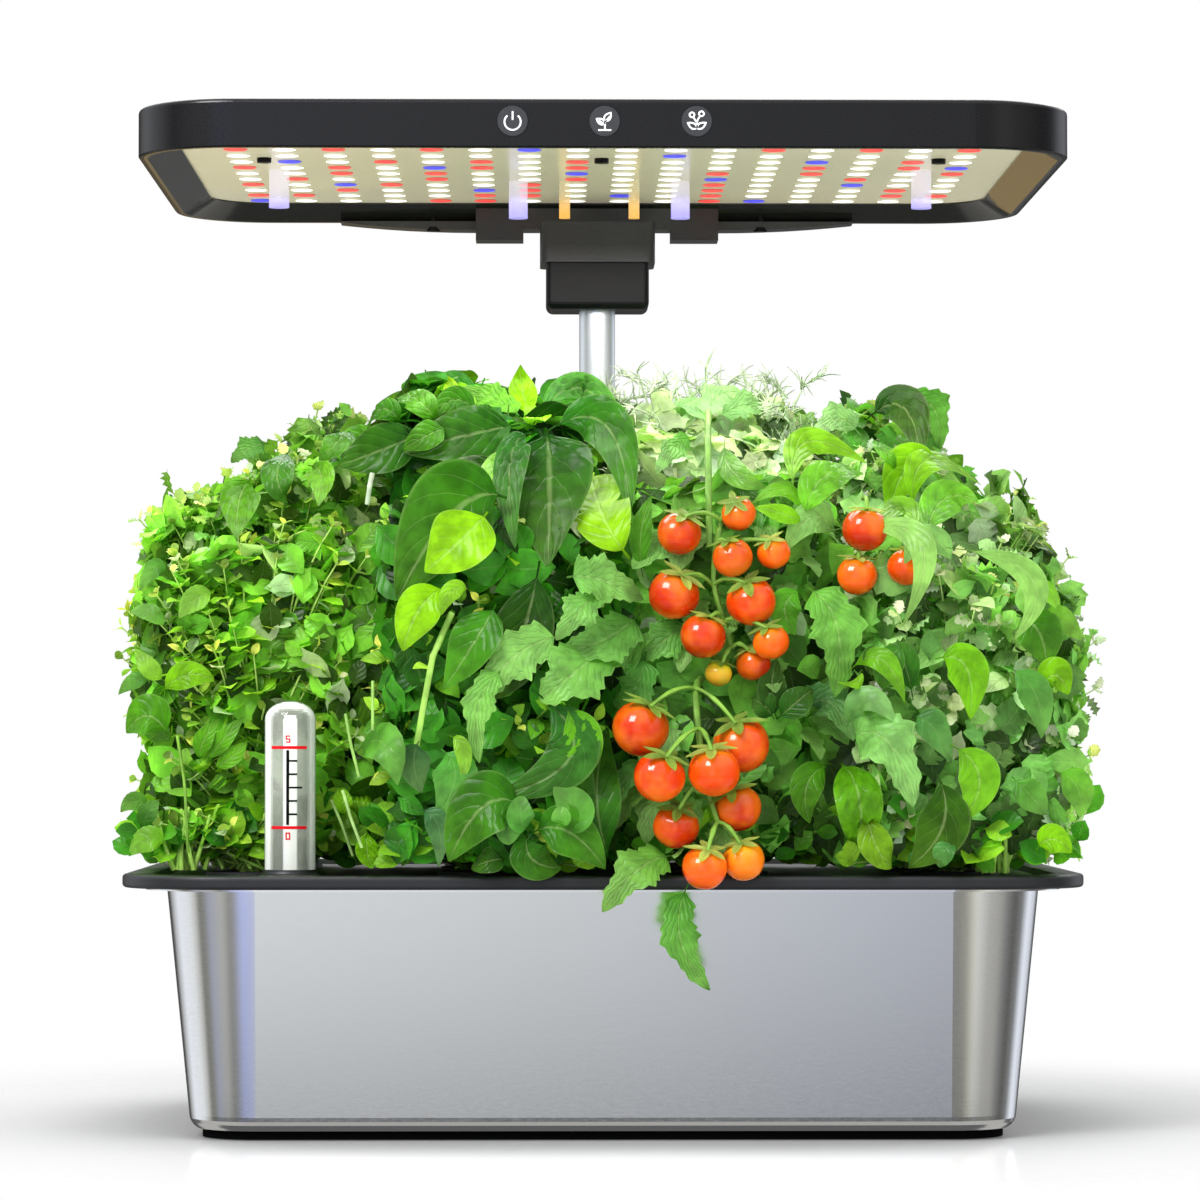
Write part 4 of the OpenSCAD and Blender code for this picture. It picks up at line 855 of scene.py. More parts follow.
    ("mint", (149, 135), (156, 128), (162, 121), 11, 5, "#4a9024"),
    # pale tomato top
    ("toothed", (38, 263), (31, 271), (28, 267), 12, 0, "#8cc484"),
    ("toothed", (38, 265), (41, 274), (50, 276), 12, 0, "#94c88c"),
    ("toothed", (41, 266), (51, 271), (58, 268), 13, 0, "#8cc484"),
    ("toothed", (94, 260), (85, 266), (77, 258), 13, 0, "#90c684"),
    ("lance", (44, 259), (47, 247), (60, 241), 9, 2, "#74b46c"),
    ("toothed", (33, 260), (25, 255), (19, 246), 10, 2, "#66ae44"),
]

SHOWN_AT = -131.0  # the plane of the crowns' front
DEEPEST = 40  # how far a leaf's points lie behind its foremost one, at most
FOREMOST = -160.0  # the plane that no leaf stands in front of
BULGES = (2, -1, 1)  # how far back the base, the middle and the tip lie, for a convex leaf
BLADE_FINISH = {"basil": BASIL_LEAF, "oak": BASIL_LEAF, "lance": BASIL_LEAF,
                "toothed": TOMATO_LEAF}


def own_tone(finish, tone):
    """A large leaf's own colour, from the one that it shows in the light: a dark one gains
    more from its gloss. It only scales the tone, so lit and shaded leaves keep painted light and shade."""
    tone = tone_of(tone)
    bright = {HERB: 0.85, BASIL_LEAF: 0.46 + 0.8 * float(tone @ [0.21, 0.72, 0.07]),
              TOMATO_LEAF: 1.0}[finish]
    return tone * bright * [1, 1, 0.4 if finish == BASIL_LEAF else 0.85]


def skin_of(k):
    """A crown's solid, to be met by a line of sight."""
    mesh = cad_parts[f"plant_{k}"].data
    return BVHTree.FromPolygons([corner.co[:] for corner in mesh.vertices],
                                [face.vertices[:] for face in mesh.polygons])


SKINS = {k: skin_of(k) for k in PLANTS}


LOOK_STEP, LOOK_FAR, LOOK_WAYS = 4, 120, 8


def crown_near(x, z):
    """How far back the foremost skin of a crown is that shows at a place in the front plane
    or just beside it, and that crown's number."""
    for reach in range(LOOK_STEP, LOOK_FAR, LOOK_STEP):
        found = []
        for k in range(LOOK_WAYS):
            turn = k * 2 * math.pi / LOOK_WAYS
            aim = np.array([x + reach * math.cos(turn), SHOWN_AT, z + reach * math.sin(turn)])
            for crown, skin in SKINS.items():
                at = skin.ray_cast(Vector(EYE * MM), Vector(unit(aim - EYE)))[0]
                if at:
                    found.append((at.y / MM, crown))
        if found:
            return min(found)
    return 0.0, 1


def placed_leaf(kind, base, middle, tip, width, lift, tone):
    """The plant of a shown leaf, and the leaf with its points laid on that plant's crown."""
    depths = [crown_near(*place)[0] for place in (base, middle, tip)]
    points = []
    for (x, z), depth, bulge in zip((base, middle, tip), depths, BULGES):
        depth = max(min(depth, min(depths) + DEEPEST) - lift + bulge, FOREMOST)
        near = (depth - EYE[1]) / (SHOWN_AT - EYE[1])
        points.append([EYE[0] + (x - EYE[0]) * near, depth,
                       max(EYE[2] + (z - EYE[2]) * near, DECK_TOP + 3)])
    near = (depths[1] - EYE[1]) / (SHOWN_AT - EYE[1])
    return crown_near(*middle)[1], (kind, *points, width * near, tone)


PLACED = [placed_leaf(*leaf) for leaf in SHOWN_LEAVES]


WINDOW_STEPS, WINDOW_WIDTH = 8, 0.42  # its half width, by the leaf's width


def window_points():
    """Places along each large leaf with the half width that it covers there."""
    spots = []
    for _, (_, base, middle, tip, width, _) in PLACED:
        base, middle, tip = (np.array(p, float) for p in (base, middle, tip))
        line = arch(base, 2 * middle - (base + tip) / 2, tip, WINDOW_STEPS)
        for share, point in zip(np.linspace(0, 1, WINDOW_STEPS + 1), line):
            half = WINDOW_WIDTH * width * math.sin(math.pi * (0.12 + 0.8 * share))
            spots.append([*point, half])
    return np.array(spots)


WINDOWS = window_points()


def hides_large_leaf(points):
    """Whether a small leaf would stand in front of a large one."""
    x, y, z = points.mean(0)
    near = np.hypot(WINDOWS[:, 0] - x, WINDOWS[:, 2] - z) < WINDOWS[:, 3]
    return bool((near & (y < WINDOWS[:, 1] + 3)).any())


def large_leaf(shape, draw, kind, base, middle, tip, width, tone):
    """One leaf laid along a curve from base to tip."""
    base, middle, tip = (np.array(p, float) for p in (base, middle, tip))
    rows, cols = LEAF_STYLES[kind][0] + 10, max(LEAF_STYLES[kind][1], 6)
    t = np.linspace(0, 1, rows + 1)[:, None]
    s = np.linspace(-1, 1, cols + 1)[None, :]
    line = arch(base, 2 * middle - (base + tip) / 2, tip, rows)
    length = np.linalg.norm(np.diff(line, axis=0), axis=1).sum()
    ways = np.gradient(line, axis=0)
    ways /= np.linalg.norm(ways, axis=1, keepdims=True)
    facing = unit(FRONT + UP * 0.3 + draw.normal(0, 0.12, 3))
    across = np.cross(ways, facing)
    across /= np.linalg.norm(across, axis=1, keepdims=True)
    face = np.cross(across, ways)
    half = 0.5 * width / length * outline(kind, t)
    lift = lift_of(kind, draw, t, s, half)
    points = (line[:, None] + across[:, None] * (half * s * length)[:, :, None]
              + face[:, None] * (lift * length)[:, :, None]).reshape(-1, 3)
    finish = BLADE_FINISH.get(kind, HERB)
    young = t * (0.06 if finish == BASIL_LEAF else 0.2)
    tones = own_tone(finish, tone) * (1 - young) + own_tone(finish, "#c8e8a0") * young
    tones = np.repeat(tones, cols + 1, axis=0)
    if clear_of_others(points):
        shape.add(points, grid_faces(rows, cols), np.clip(tones, 0, 1), grid_place(rows, cols),
                  finish)


# ---- Plants ----

REACH = 7.0  # how far leaves stand out of their crown
FOOT_GAP = 5  # no shoot comes out of a crown below this height over the deck
SEEN_OUT = 9  # a spot is hidden where a point this far out of it lies in another crown
HIDDEN_KEPT, REAR_KEPT = 0.12, 0.3  # the shares of hidden spots and of rear ones that stay
DOWNWARD, REARWARD = -0.5, 0.6  # how a face's normal tells that it looks down or back
BACK_ROW = range(9, 13)
# Shades of neighbouring leaves, as parts of their tone: on shoots, under them and in seams
SHOOT_SHADES = (0.4, 0.75, 1.1, 1.7)
UNDER_SHADES = (0.2, 0.6, 1.0, 1.3, 1.8)
SEAM_SHADES = (0.2, 0.5, 0.9, 1.2)
SEAM_LEAVES = 110


def crown_faces(k):
    """Corners, normal and area of each face of a crown's solid."""
    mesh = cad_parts[f"plant_{k}"].data
    mesh.calc_loop_triangles()
    co = np.empty(len(mesh.vertices) * 3)
    mesh.vertices.foreach_get("co", co)
    tri = np.empty(len(mesh.loop_triangles) * 3, int)
    mesh.loop_triangles.foreach_get("vertices", tri)
    corners = (co.reshape(-1, 3) / MM)[tri.reshape(-1, 3)]
    normal = np.cross(corners[:, 1] - corners[:, 0], corners[:, 2] - corners[:, 0])
    area = np.linalg.norm(normal, axis=1) / 2
    return corners, normal / np.maximum(2 * area, 1e-9)[:, None], area


def inside_crown(point, k):
    """Whether a point is in a crown's box."""
    low, high = CROWNS[k]
    return bool(((point > low) & (point < high)).all())


def crown_spots(k, count, draw):
    """Places on a crown's skin with the way out, fewer where a neighbour hides it."""
    corners, normal, area = crown_faces(k)
    keep = corners[:, :, 2].mean(1) > DECK_TOP + FOOT_GAP
    corners, normal, area = corners[keep], normal[keep], area[keep]
    spots = []
    odds = area / area.sum()
    while len(spots) < count:
        f = draw.choice(len(odds), p=odds)
        a, b = draw.random(2)
        if a + b > 1:
            a, b = 1 - a, 1 - b
        first, second, third = corners[f]
        spot = first + a * (second - first) + b * (third - first)
        way = normal[f]
        hidden = any(inside_crown(spot + way * SEEN_OUT, other) for other in CROWNS if other != k)
        if way[2] < DOWNWARD or (hidden and draw.random() > HIDDEN_KEPT):
            continue
        if way[1] > REARWARD and k not in BACK_ROW and draw.random() > REAR_KEPT:
            continue
        spots.append((spot, way))
    return spots


@dataclass
class Growth:
    """A way of growing: a shoot's leaves, how many pairs and how far apart, their tones when
    grown and young, how far they lean out, the stalk's radius and tone, and the share of
    leaves painted whitish as glints of light."""
    kind: str
    finish: int
    length: float
    pairs: int
    gap: float
    tone: str
    young: str
    lean: float = 1.0
    stalk: float = 0.8
    stem: str = "#7fae4a"
    detail: str = "plain"
    pale: float = 0.0


GROWN = (0.45, 0.75, 0.95, 1.0)  # the size of each pair of leaves, from a shoot's end
YOUNG = (0.75, 0.25, 0.0, 0.0)  # their share of the young tone


def sprig(shape, draw, growth, root, tip, out):
    """A shoot from root to tip with pairs of leaves near its end."""
    middle = root + (tip - root) * [0.35, 0.35, 0.75] + out * 3
    path = arch(root, middle, tip, 9)
    run = np.cumsum(np.r_[0, np.linalg.norm(np.diff(path, axis=0), axis=1)])
    thick = growth.stalk
    tube(shape, path, np.linspace(thick, thick * 0.45, len(path)), linear(growth.stem), STEM,
         sides=4)
    turn = draw.uniform(0, math.pi)
    for pair in range(growth.pairs):
        back = (pair + 0.2) * growth.gap * draw.uniform(0.9, 1.1)
        at = run[-1] - back
        if at < run[-1] * 0.18:
            break
        spot = np.array([np.interp(at, run, path[:, axis]) for axis in range(3)])
        ahead = np.array([np.interp(min(at + 2, run[-1]), run, path[:, axis]) for axis in range(3)])
        along = unit(ahead - spot) if at + 0.5 < run[-1] else unit(path[-1] - path[-2])
        first = unit(np.cross(along, [0.3, 0.9, 0.2]))
        second = np.cross(along, first)
        grown, mix = GROWN[min(pair, 3)], YOUNG[min(pair, 3)]
        for half in range(2):
            a = turn + pair * math.pi / 2 + half * math.pi + draw.normal(0, 0.25)
            aside = first * math.cos(a) + second * math.sin(a)
            open_by = growth.lean * (0.55 if pair == 0 else 1.0) + draw.normal(0, 0.12)
            way = along * math.cos(open_by) + aside * math.sin(open_by)
            facing = along * math.sin(open_by) - aside * math.cos(open_by)
            facing = unit(facing + out * 0.55 + UP * 0.45 + draw.normal(0, 0.15, 3))
            colour = tone_of(growth.tone) * (1 - mix) + tone_of(growth.young) * mix
            colour = colour * draw.choice(SHOOT_SHADES)
            # A painted glint: the leaf's tone is whitened as if it caught the light.
            if draw.random() < growth.pale:
                colour = colour * 0.3 + tone_of("#ecf8d8") * 0.7
            put_leaf(shape, draw, growth.kind, growth.finish, spot, way, facing,
                     growth.length * grown * draw.uniform(0.85, 1.15), colour, growth.detail)


def under_leaves(shape, draw, k, count, kinds, length, tone, pale):
    """Leaves a little below a crown's skin, which close it. pale is the share painted whitish
    as glints of light, more of them near the lamp."""
    for spot, out in crown_spots(k, count, draw):
        depth = draw.uniform(1, 9)
        way = unit(np.cross(out, draw.normal(0, 1, 3)))
        size = length * draw.uniform(0.7, 1.3)
        facing = unit(out + draw.normal(0, 0.35, 3))
        colour = tone_of(tone) * draw.choice(UNDER_SHADES)
        # A painted glint: the leaf's tone is whitened as if it caught the light, more often higher up.
        if draw.random() < pale * 1.4 * (spot[2] - DECK_TOP) / (CROWNS[k][1][2] - DECK_TOP):
            colour = colour * 0.4 + tone_of("#e4f4c4") * 0.6
        put_leaf(shape, draw, kinds[draw.integers(len(kinds))], HERB,
                 spot - out * depth - way * size / 2, way, facing, size, colour)


def low_growth(shape, draw, k, count):
    """Short shoots and small leaves round the pod's foot, down to the deck."""
    low, high = CROWNS[k]
    for _ in range(count):
        root = PODS[k] + [draw.uniform(-12, 12), draw.uniform(-12, 12), 0.5]
        tip = np.array([draw.uniform(low[0] + 3, high[0] - 3), low[1] + draw.uniform(-1, 26),
                        DECK_TOP + draw.uniform(3, 24)])
        path = arch(root, (root + tip) / 2 + UP * draw.uniform(3, 10), tip, 6)
        path[:, 2] = np.maximum(path[:, 2], DECK_TOP + 1.2)
        tube(shape, path, np.linspace(0.8, 0.4, 7), linear("#93bd5a"), STEM, sides=4)
        for back in (6, 5, 4):
            for _ in range(2):
                way = unit(draw.normal(0, 1, 3) * [1, 0.6, 0.5] + UP * 0.5 + FRONT * 0.3)
                tone = tone_of(("#58a426", "#8cc830", "#37801c")[draw.integers(3)])
                put_leaf(shape, draw, "round", HERB, path[back], way, unit(FRONT + UP * 0.6),
                         draw.uniform(8, 14), tone)


def bridging(shape, draw, k, kinds, length, tone):
    """Leaves that close the seams beside the next plant and behind this one, where the
    outer sides show them."""
    low, high = CROWNS[k]
    row, column = divmod(k - 1, 4)
    seams = []
    if column < 3 and row != 1:
        beside = CROWNS[k + 1]
        out = FRONT if row == 0 else -FRONT
        edge = max(low[1], beside[0][1]) if row == 0 else min(high[1], beside[1][1])
        seams.append(([(high[0] + beside[0][0]) / 2, edge - out[1] * 18], [5, 13],
                      min(high[2], beside[1][2]), out))
    if row < 2 and column in (0, 3):
        behind = CROWNS[k + 4]
        out = np.array([-1.0 if column == 0 else 1.0, 0.0, 0.0])
        edge = low[0] if column == 0 else high[0]
        seams.append(([edge - out[0] * 18, (high[1] + behind[0][1]) / 2], [13, 5],
                      min(high[2], behind[1][2]), out))
    for middle, spread, top, out in seams:
        for _ in range(SEAM_LEAVES):
            x, y = np.array(middle) + draw.uniform(-1, 1, 2) * spread
            spot = np.array([x, y, draw.uniform(DECK_TOP + 4, top - 10)])
            way = unit(np.cross(out, draw.normal(0, 1, 3)))
            size = length * draw.uniform(0.8, 1.4)
            put_leaf(shape, draw, kinds[draw.integers(len(kinds))], HERB, spot - way * size / 2,
                     way, unit(out + draw.normal(0, 0.3, 3)), size,
                     tone_of(tone) * draw.choice(SEAM_SHADES))


def foot_stems(shape, draw, x, y):
    """A bunch of short pale stems that come up at a front corner."""
    for _ in range(16):
        foot = np.array([x + draw.uniform(-7, 7), y + draw.uniform(-3, 8), DECK_TOP + 1])
        tip = foot + [draw.uniform(-7, 7), draw.uniform(-3, 2), draw.uniform(14, 24)]
        tube(shape, arch(foot, (foot + tip) / 2 + draw.normal(0, 1, 3), tip, 6),
             np.linspace(1.0, 0.6, 7), tone_of("#a4d45c") * draw.uniform(0.7, 1.1), STEM)


# Stalks that show in front of the leaves, by their plant: their points, radius and tone
SHOWN_STALKS = {
    1: [([(-102, -90, 126), (-98, -91, 117), (-94, -88, 105)], 0.6, "#9cc070"),
        ([(-160, -86, 150), (-157, -88, 132), (-156, -84, 106)], 0.6, "#7cac40")],
    2: [([(-56, -132, 195), (-63, -133, 179), (-66, -132, 163), (-69, -131, 146)], 1.2, "#9ccc5c"),
        ([(-95, -131, 158), (-93, -132, 147), (-90, -130, 135)], 0.6, "#94c060"),
        ([(-85, -131, 170), (-85, -132, 161), (-85, -130, 152)], 0.6, "#94c060"),
        ([(-96, -130, 130), (-93, -132, 120), (-89, -129, 109)], 0.6, "#9cc070")],
    3: [([(39, -117, 220), (38.5, -117, 240), (39, -98, 260), (40, -72, 273)], 1.3, "#7cac4c")],
    # Plant 6's two stalks are pale stems whose near-white tone is a painted highlight.
    6: [([(-89, -31, 252), (-90, -32, 247), (-91, -30, 240)], 1.0, "#e4f0d8"),
        ([(-62, -31, 255), (-63, -32, 250), (-64, -30, 243)], 1.0, "#e4f0d8")],
}


def bushy(shape, draw, k, growth, count):
    """Shoots all round a crown, from the pod to the crown's skin."""
    for spot, out in crown_spots(k, count, draw):
        tip = spot + out * draw.uniform(-9, REACH - growth.length * 0.25)
        foot = PODS[k] + [draw.uniform(-5, 5), draw.uniform(-5, 5), 0]
        if tip[2] < DECK_TOP + 8:
            tip[2] = DECK_TOP + 8 + draw.uniform(0, 6)
        sprig(shape, draw, growth, foot, tip, out)


SMALL_HERB = Growth("round", HERB, 9.5, 6, 6.0, "#94d43c", "#dcf878", stalk=0.6, stem="#b4d86c",
                    pale=0.1)
CURLY_HERB = Growth("frilly", HERB, 12.0, 5, 7.0, "#8ccc5c", "#d4f488", stalk=0.7, stem="#b4d86c",
                    pale=0.08)
PALE_HERB = Growth("frilly", HERB, 12.0, 5, 7.0, "#a8d884", "#e8fac0", stalk=0.7, stem="#c4e08c",
                   pale=0.14)
MINT = Growth("mint", HERB, 17.0, 5, 9.0, "#4a9c24", "#a4dc40", lean=1.05, pale=0.02)
LIME_MINT = Growth("mint", HERB, 13.0, 5, 8.0, "#98dc2c", "#dcf864", stem="#b4d86c", pale=0.08)
BASIL = Growth("basil", BASIL_LEAF, 36.0, 3, 18.0, "#2c7a16", "#84cc20", lean=1.15, stalk=1.4,
               detail="fine")
LARGE_BASIL = Growth("basil", BASIL_LEAF, 46.0, 3, 20.0, "#267014", "#7cc41c", lean=1.2, stalk=1.6,
                     detail="fine")
PEPPER = Growth("lance", BASIL_LEAF, 38.0, 4, 14.0, "#84c464", "#c8e898", lean=1.15, stalk=1.1,
                detail="fine")

# Each plant's family, its shoots with their number, and its inner leaves: how many, their
# kinds, length and tone, and the share painted pale as glints of light
PLANTING = {
    1: ("herb", [(LIME_MINT, 60), (SMALL_HERB, 80)], (460, ("round", "mint"), 13, "#78bc34", 0.14)),
    2: ("herb", [(MINT, 60), (LIME_MINT, 26)], (460, ("round", "mint"), 16, "#3c8420", 0.02)),
    3: ("tomato", [], (460, ("toothed", "round"), 17, "#70b044", 0.06)),
    4: ("herb", [(PALE_HERB, 48), (CURLY_HERB, 40), (PEPPER, 8)],
        (440, ("frilly", "mint"), 15, "#80b85c", 0.16)),
    5: ("herb", [(SMALL_HERB, 80), (CURLY_HERB, 60)], (400, ("round", "frilly"), 13, "#84c444", 0.18)),
    6: ("basil", [(BASIL, 16), (MINT, 14)], (300, ("basil", "round"), 20, "#2f7a1c", 0.0)),
    7: ("tomato", [(PEPPER, 6)], (360, ("toothed",), 18, "#b0d094", 0.5)),
    8: ("herb", [(PALE_HERB, 56), (CURLY_HERB, 34), (PEPPER, 8)],
        (400, ("frilly", "mint"), 15, "#90c46c", 0.2)),
    9: ("herb", [(CURLY_HERB, 90), (BASIL, 5)], (420, ("frilly",), 14, "#84c44c", 0.16)),
    10: ("basil", [(LARGE_BASIL, 22)], (360, ("basil",), 24, "#388822", 0.0)),
    11: ("tomato", [], (420, ("toothed",), 18, "#9cc87c", 0.72)),
    12: ("basil", [(BASIL, 12), (CURLY_HERB, 60)], (420, ("frilly", "basil"), 16, "#64ac40", 0.1)),
}


def compound_leaf(shape, draw, base, way, facing, length, tone):
    """A tomato leaf: a stalk with toothed leaflets in pairs and one at its end."""
    way, facing = unit(way), unit(facing)
    sag = base + way * length * 0.55 + UP * length * 0.12
    tip = base + way * length - UP * length * 0.18
    path = arch(base, sag, tip, 6)
    if not clear_of_others(path):
        return
    tube(shape, path, np.linspace(1.0, 0.5, 7), linear("#8db85c"), STEM, sides=4)
    across = unit(np.cross(way, facing))
    for share, size in ((0.35, 0.3), (0.58, 0.42), (0.8, 0.4)):
        spot = path[round(share * 6)]
        for side in (-1, 1):
            aim = unit(across * side + way * 0.55 + draw.normal(0, 0.12, 3))
            put_leaf(shape, draw, "toothed", TOMATO_LEAF, spot, aim, facing + draw.normal(0, 0.2, 3),
                     length * size * draw.uniform(0.85, 1.15), tone, "fine")
    ahead = unit(path[-1] - path[-2])
    put_leaf(shape, draw, "toothed", TOMATO_LEAF, path[-1], ahead, facing, length * 0.55, tone,
             "fine")


def tomato_plant(shape, draw, k, count, length, tone):
    """Main stems with compound leaves that reach the crown's skin."""
    root, (low, high) = PODS[k], CROWNS[k]
    stems = []
    for _ in range(3):
        top = np.array([draw.uniform(low[0] + 20, high[0] - 20),
                        draw.uniform(low[1] + 15, high[1] - 15), high[2] - draw.uniform(6, 30)])
        path = arch(root, (root + top) / 2 + draw.normal(0, 6, 3), top, 12)
        tube(shape, path, np.linspace(3.0, 1.6, 13), linear("#7da955"), STEM, sides=7)
        stems.append(path)
    for spot, out in crown_spots(k, count, draw):
        path = stems[draw.integers(3)]
        near = path[np.argmin(np.abs(path[:, 2] - (spot[2] - 6)))]
        reach = spot + out * REACH * 0.4 - near
        span = min(np.linalg.norm(reach), length * 1.1)
        base = spot + out * REACH * 0.4 - unit(reach) * span
        colour = tone_of(tone) * draw.uniform(0.7, 1.2)
        compound_leaf(shape, draw, base, reach, out * 0.8 + UP * 0.7 + draw.normal(0, 0.2, 3),
                      span * 0.8, colour)


def frond(shape, draw, base, tip, tone):
    """A dill frond: fine threads on thin side stalks."""
    path = arch(base, base + (tip - base) * [0.2, 0.2, 0.7], tip, 8)
    tube(shape, path, np.linspace(1.0, 0.4, 9), tone, STEM, sides=4)
    for share in np.linspace(0.35, 1.0, 9):
        spot = path[min(8, round(share * 8))] + draw.normal(0, 0.6, 3)
        for _ in range(2):
            way = unit(draw.normal(0, 1, 3) * [1, 1, 0.5] + UP * 0.7)
            arm = spot + way * draw.uniform(10, 20) * (1.25 - 0.5 * share)
            if not clear_of_others(arm[None]):
                continue
            tube(shape, arch(spot, (spot + arm) / 2 + UP * 1.5, arm, 3), [0.45, 0.4, 0.35, 0.25],
                 tone, STEM, sides=3)
            for place in np.linspace(0.25, 1.0, 5):
                start = spot + (arm - spot) * place
                for _ in range(2):
                    end = start + unit(way * 0.8 + draw.normal(0, 0.8, 3)) * draw.uniform(5, 9)
                    tube(shape, np.array([start, (start + end) / 2 + UP * 0.6, end]),
                         [0.32, 0.28, 0.12], tone * draw.uniform(0.8, 1.2), STEM, sides=3)


# Main stems' compound leaves on the tomato plants: how many, their length and tone
TOMATO_LEAVES = {3: (44, 62, "#98d06c"), 7: (34, 62, "#a8d880"), 11: (20, 52, "#c4e8ac")}
# Where short stems come up at the front row's outer corners
FOOT_STEMS = {1: (-156, -78), 4: (144, -120)}
FRONDS = {11: 42}


def grow(k):
    """The whole plant of one pod."""
    family, shoots, inner = PLANTING[k]
    draw = np.random.default_rng(100 + k)
    shape = Shape()
    root = PODS[k]
    tube(shape, arch(root, root + UP * 12, root + UP * 26 + [1, 0, 0], 4),
         [3.2, 2.8, 2.5, 2.2, 1.8], linear("#8fb765"), STEM, sides=10)
    under_leaves(shape, draw, k, *inner)
    bridging(shape, draw, k, *inner[1:4])
    low_growth(shape, draw, k, 34 if k <= 4 else 24)
    if k in FOOT_STEMS:
        foot_stems(shape, draw, *FOOT_STEMS[k])
    for points, radius, tone in SHOWN_STALKS.get(k, ()):
        line = np.array(points, float)
        share = np.linspace(0, len(line) - 1, 4 * len(line))
        path = np.stack([np.interp(share, range(len(line)), line[:, axis])
                         for axis in range(3)], -1)
        tube(shape, path, radius, linear(tone), STEM, sides=8)
    for growth, count in shoots:
        bushy(shape, draw, k, growth, count)
    if k in TOMATO_LEAVES:
        tomato_plant(shape, draw, k, *TOMATO_LEAVES[k])
    low, high = CROWNS[k]
    for _ in range(FRONDS.get(k, 0)):
        tip = np.array([draw.uniform(low[0], high[0]), draw.uniform(low[1] - 2, high[1] - 4),
                        high[2] - draw.uniform(-3, 34)])
        frond(shape, draw, root + draw.normal(0, 3, 3) * [1, 1, 0], tip, tone_of("#d8ecc8"))
    for plant, leaf in PLACED:
        if plant == k:
            large_leaf(shape, draw, *leaf)
    shape.piece(f"{family}_{k}", PLANT_FINISHES, "deck", [f"plant_{k}"])


def rim_leaves():
    """Two young tomato leaves that hang over the front rim."""
    draw = np.random.default_rng(77)
    shape = Shape()
    large_leaf(shape, draw, "toothed", (25, -129, 106), (12, -140, 101), (-1, -144, 86), 19,
               "#5c9c34")
    large_leaf(shape, draw, "toothed", (31, -134.5, 97), (27, -141, 77), (38, -141, 57.5), 15,
               "#3f8c1c")
    for stalk, steps in ((((30, -112, 112), (29, -132, 108), (25, -130, 105.5)), 6),
                         (((33, -112, 110), (33, -137, 107), (31, -135, 97)), 8)):
        tube(shape, arch(*np.array(stalk), steps), 0.8, linear("#8dbf5c"), STEM, sides=6)
    shape.piece("rim_leaves", PLANT_FINISHES, "deck")


for crown in CROWNS:
    grow(crown)
rim_leaves()


# ---- Tomatoes ----

# Each fruit's place from the truss's own, its diameter and its joint on the stalk
UPPER_FRUIT = [
    (-16.5, 10, 126, 16.5, 1), (5.5, 12, 133.5, 13, 1), (3, 7, 117, 15, 2),
    (18.5, 11, 119, 12.5, 2), (-18.5, 9, 103.5, 19, 3), (10, 8, 101, 18.5, 3),
    (-8, 4, 88, 17, 4), (17, 3, 86, 13.5, 4), (-2, 10, 74.5, 10, 5), (11, 13, 78, 13, 5)]
UPPER_STALK = [
    (2, 20.1, 129), (-1, 12, 131), (-3, 13, 120), (-4, 13, 107), (0, 13, 94), (3, 13, 84)]
LOWER_FRUIT = [
    (-31, -5, 54, 21, 1), (6, 1, 48, 21, 1), (-24.5, -15, 36.5, 19, 2), (-4.5, -14, 38.5, 19, 2),
    (-18, -3, 18.5, 17, 3), (4.5, -2, 25, 17.5, 3), (-8, -13, 3.5, 16.5, 4), (6.5, -6, 6, 15.5, 4)]
LOWER_STALK = [(-8, 20.1, 73), (-11, 6, 69), (-10, -4, 54), (-8, -5, 36), (-3, -7, 20)]
TRUSS_AT = np.array([PODS[3][0], DECK_FRONT, DECK_TOP])
RIPE, ORANGE, GREENISH = "#b81c02", "#e04c06", "#b9a82a"
UPPER_TONES = [RIPE, "#d83e0a", RIPE, ORANGE, RIPE, "#d22a04", "#b81a03", ORANGE, GREENISH,
               "#b01402"]
LOWER_TONES = [RIPE, "#c41c04", "#d02403", "#dc3a04", "#b81a03", "#b01402", "#d83c06", "#e8720e"]


def ball(shape, draw, middle, size, axis, tone, rows=22, cols=30):
    """A tomato with soft ribs, a dimple under its star, an even, taut skin paler round its star,
    and painted shade that darkens its half away from the star.
    """
    pole = np.linspace(0, math.pi, rows + 1)[:, None]
    turn = np.linspace(0, 2 * math.pi, cols + 1)[None, :]
    ribs = 1 + 0.018 * np.sin(turn * 5 + draw.uniform(0, 6)) * np.sin(pole) ** 2
    radius = size / 2 * ribs
    dimple = 0.16 * np.exp(-(pole / 0.42) ** 2)
    x = radius * np.sin(pole) * np.cos(turn)
    y = radius * np.sin(pole) * np.sin(turn)
    z = radius * 0.96 * (np.cos(pole) - dimple)
    z = np.broadcast_to(z, x.shape)
    first = unit(np.cross(axis, [0.2, 0.9, 0.1]))
    own_axes = np.stack([first, np.cross(axis, first), axis])
    points = np.stack([x, y, z], -1).reshape(-1, 3) @ own_axes + middle
    low = tone_of(tone)
    pale = np.clip(low * [1.1, 2.6, 1.2] + [0, 0.04, 0], 0, 1)
    share = np.clip(np.cos(pole) * 0.9 - 0.1, 0, 1) ** 1.5 + 0 * turn
    # Painted shade: the half away from the star darkens to half its tone at the far end.
    shade_below = np.clip(-np.cos(pole) * 1.2, 0, 1) + 0 * turn
    tones = (low + (pale - low) * share.reshape(-1, 1)) * (1 - 0.5 * shade_below.reshape(-1, 1))
    shape.add(points, grid_faces(rows, cols), tones, grid_place(rows, cols), FRUIT_SKIN)


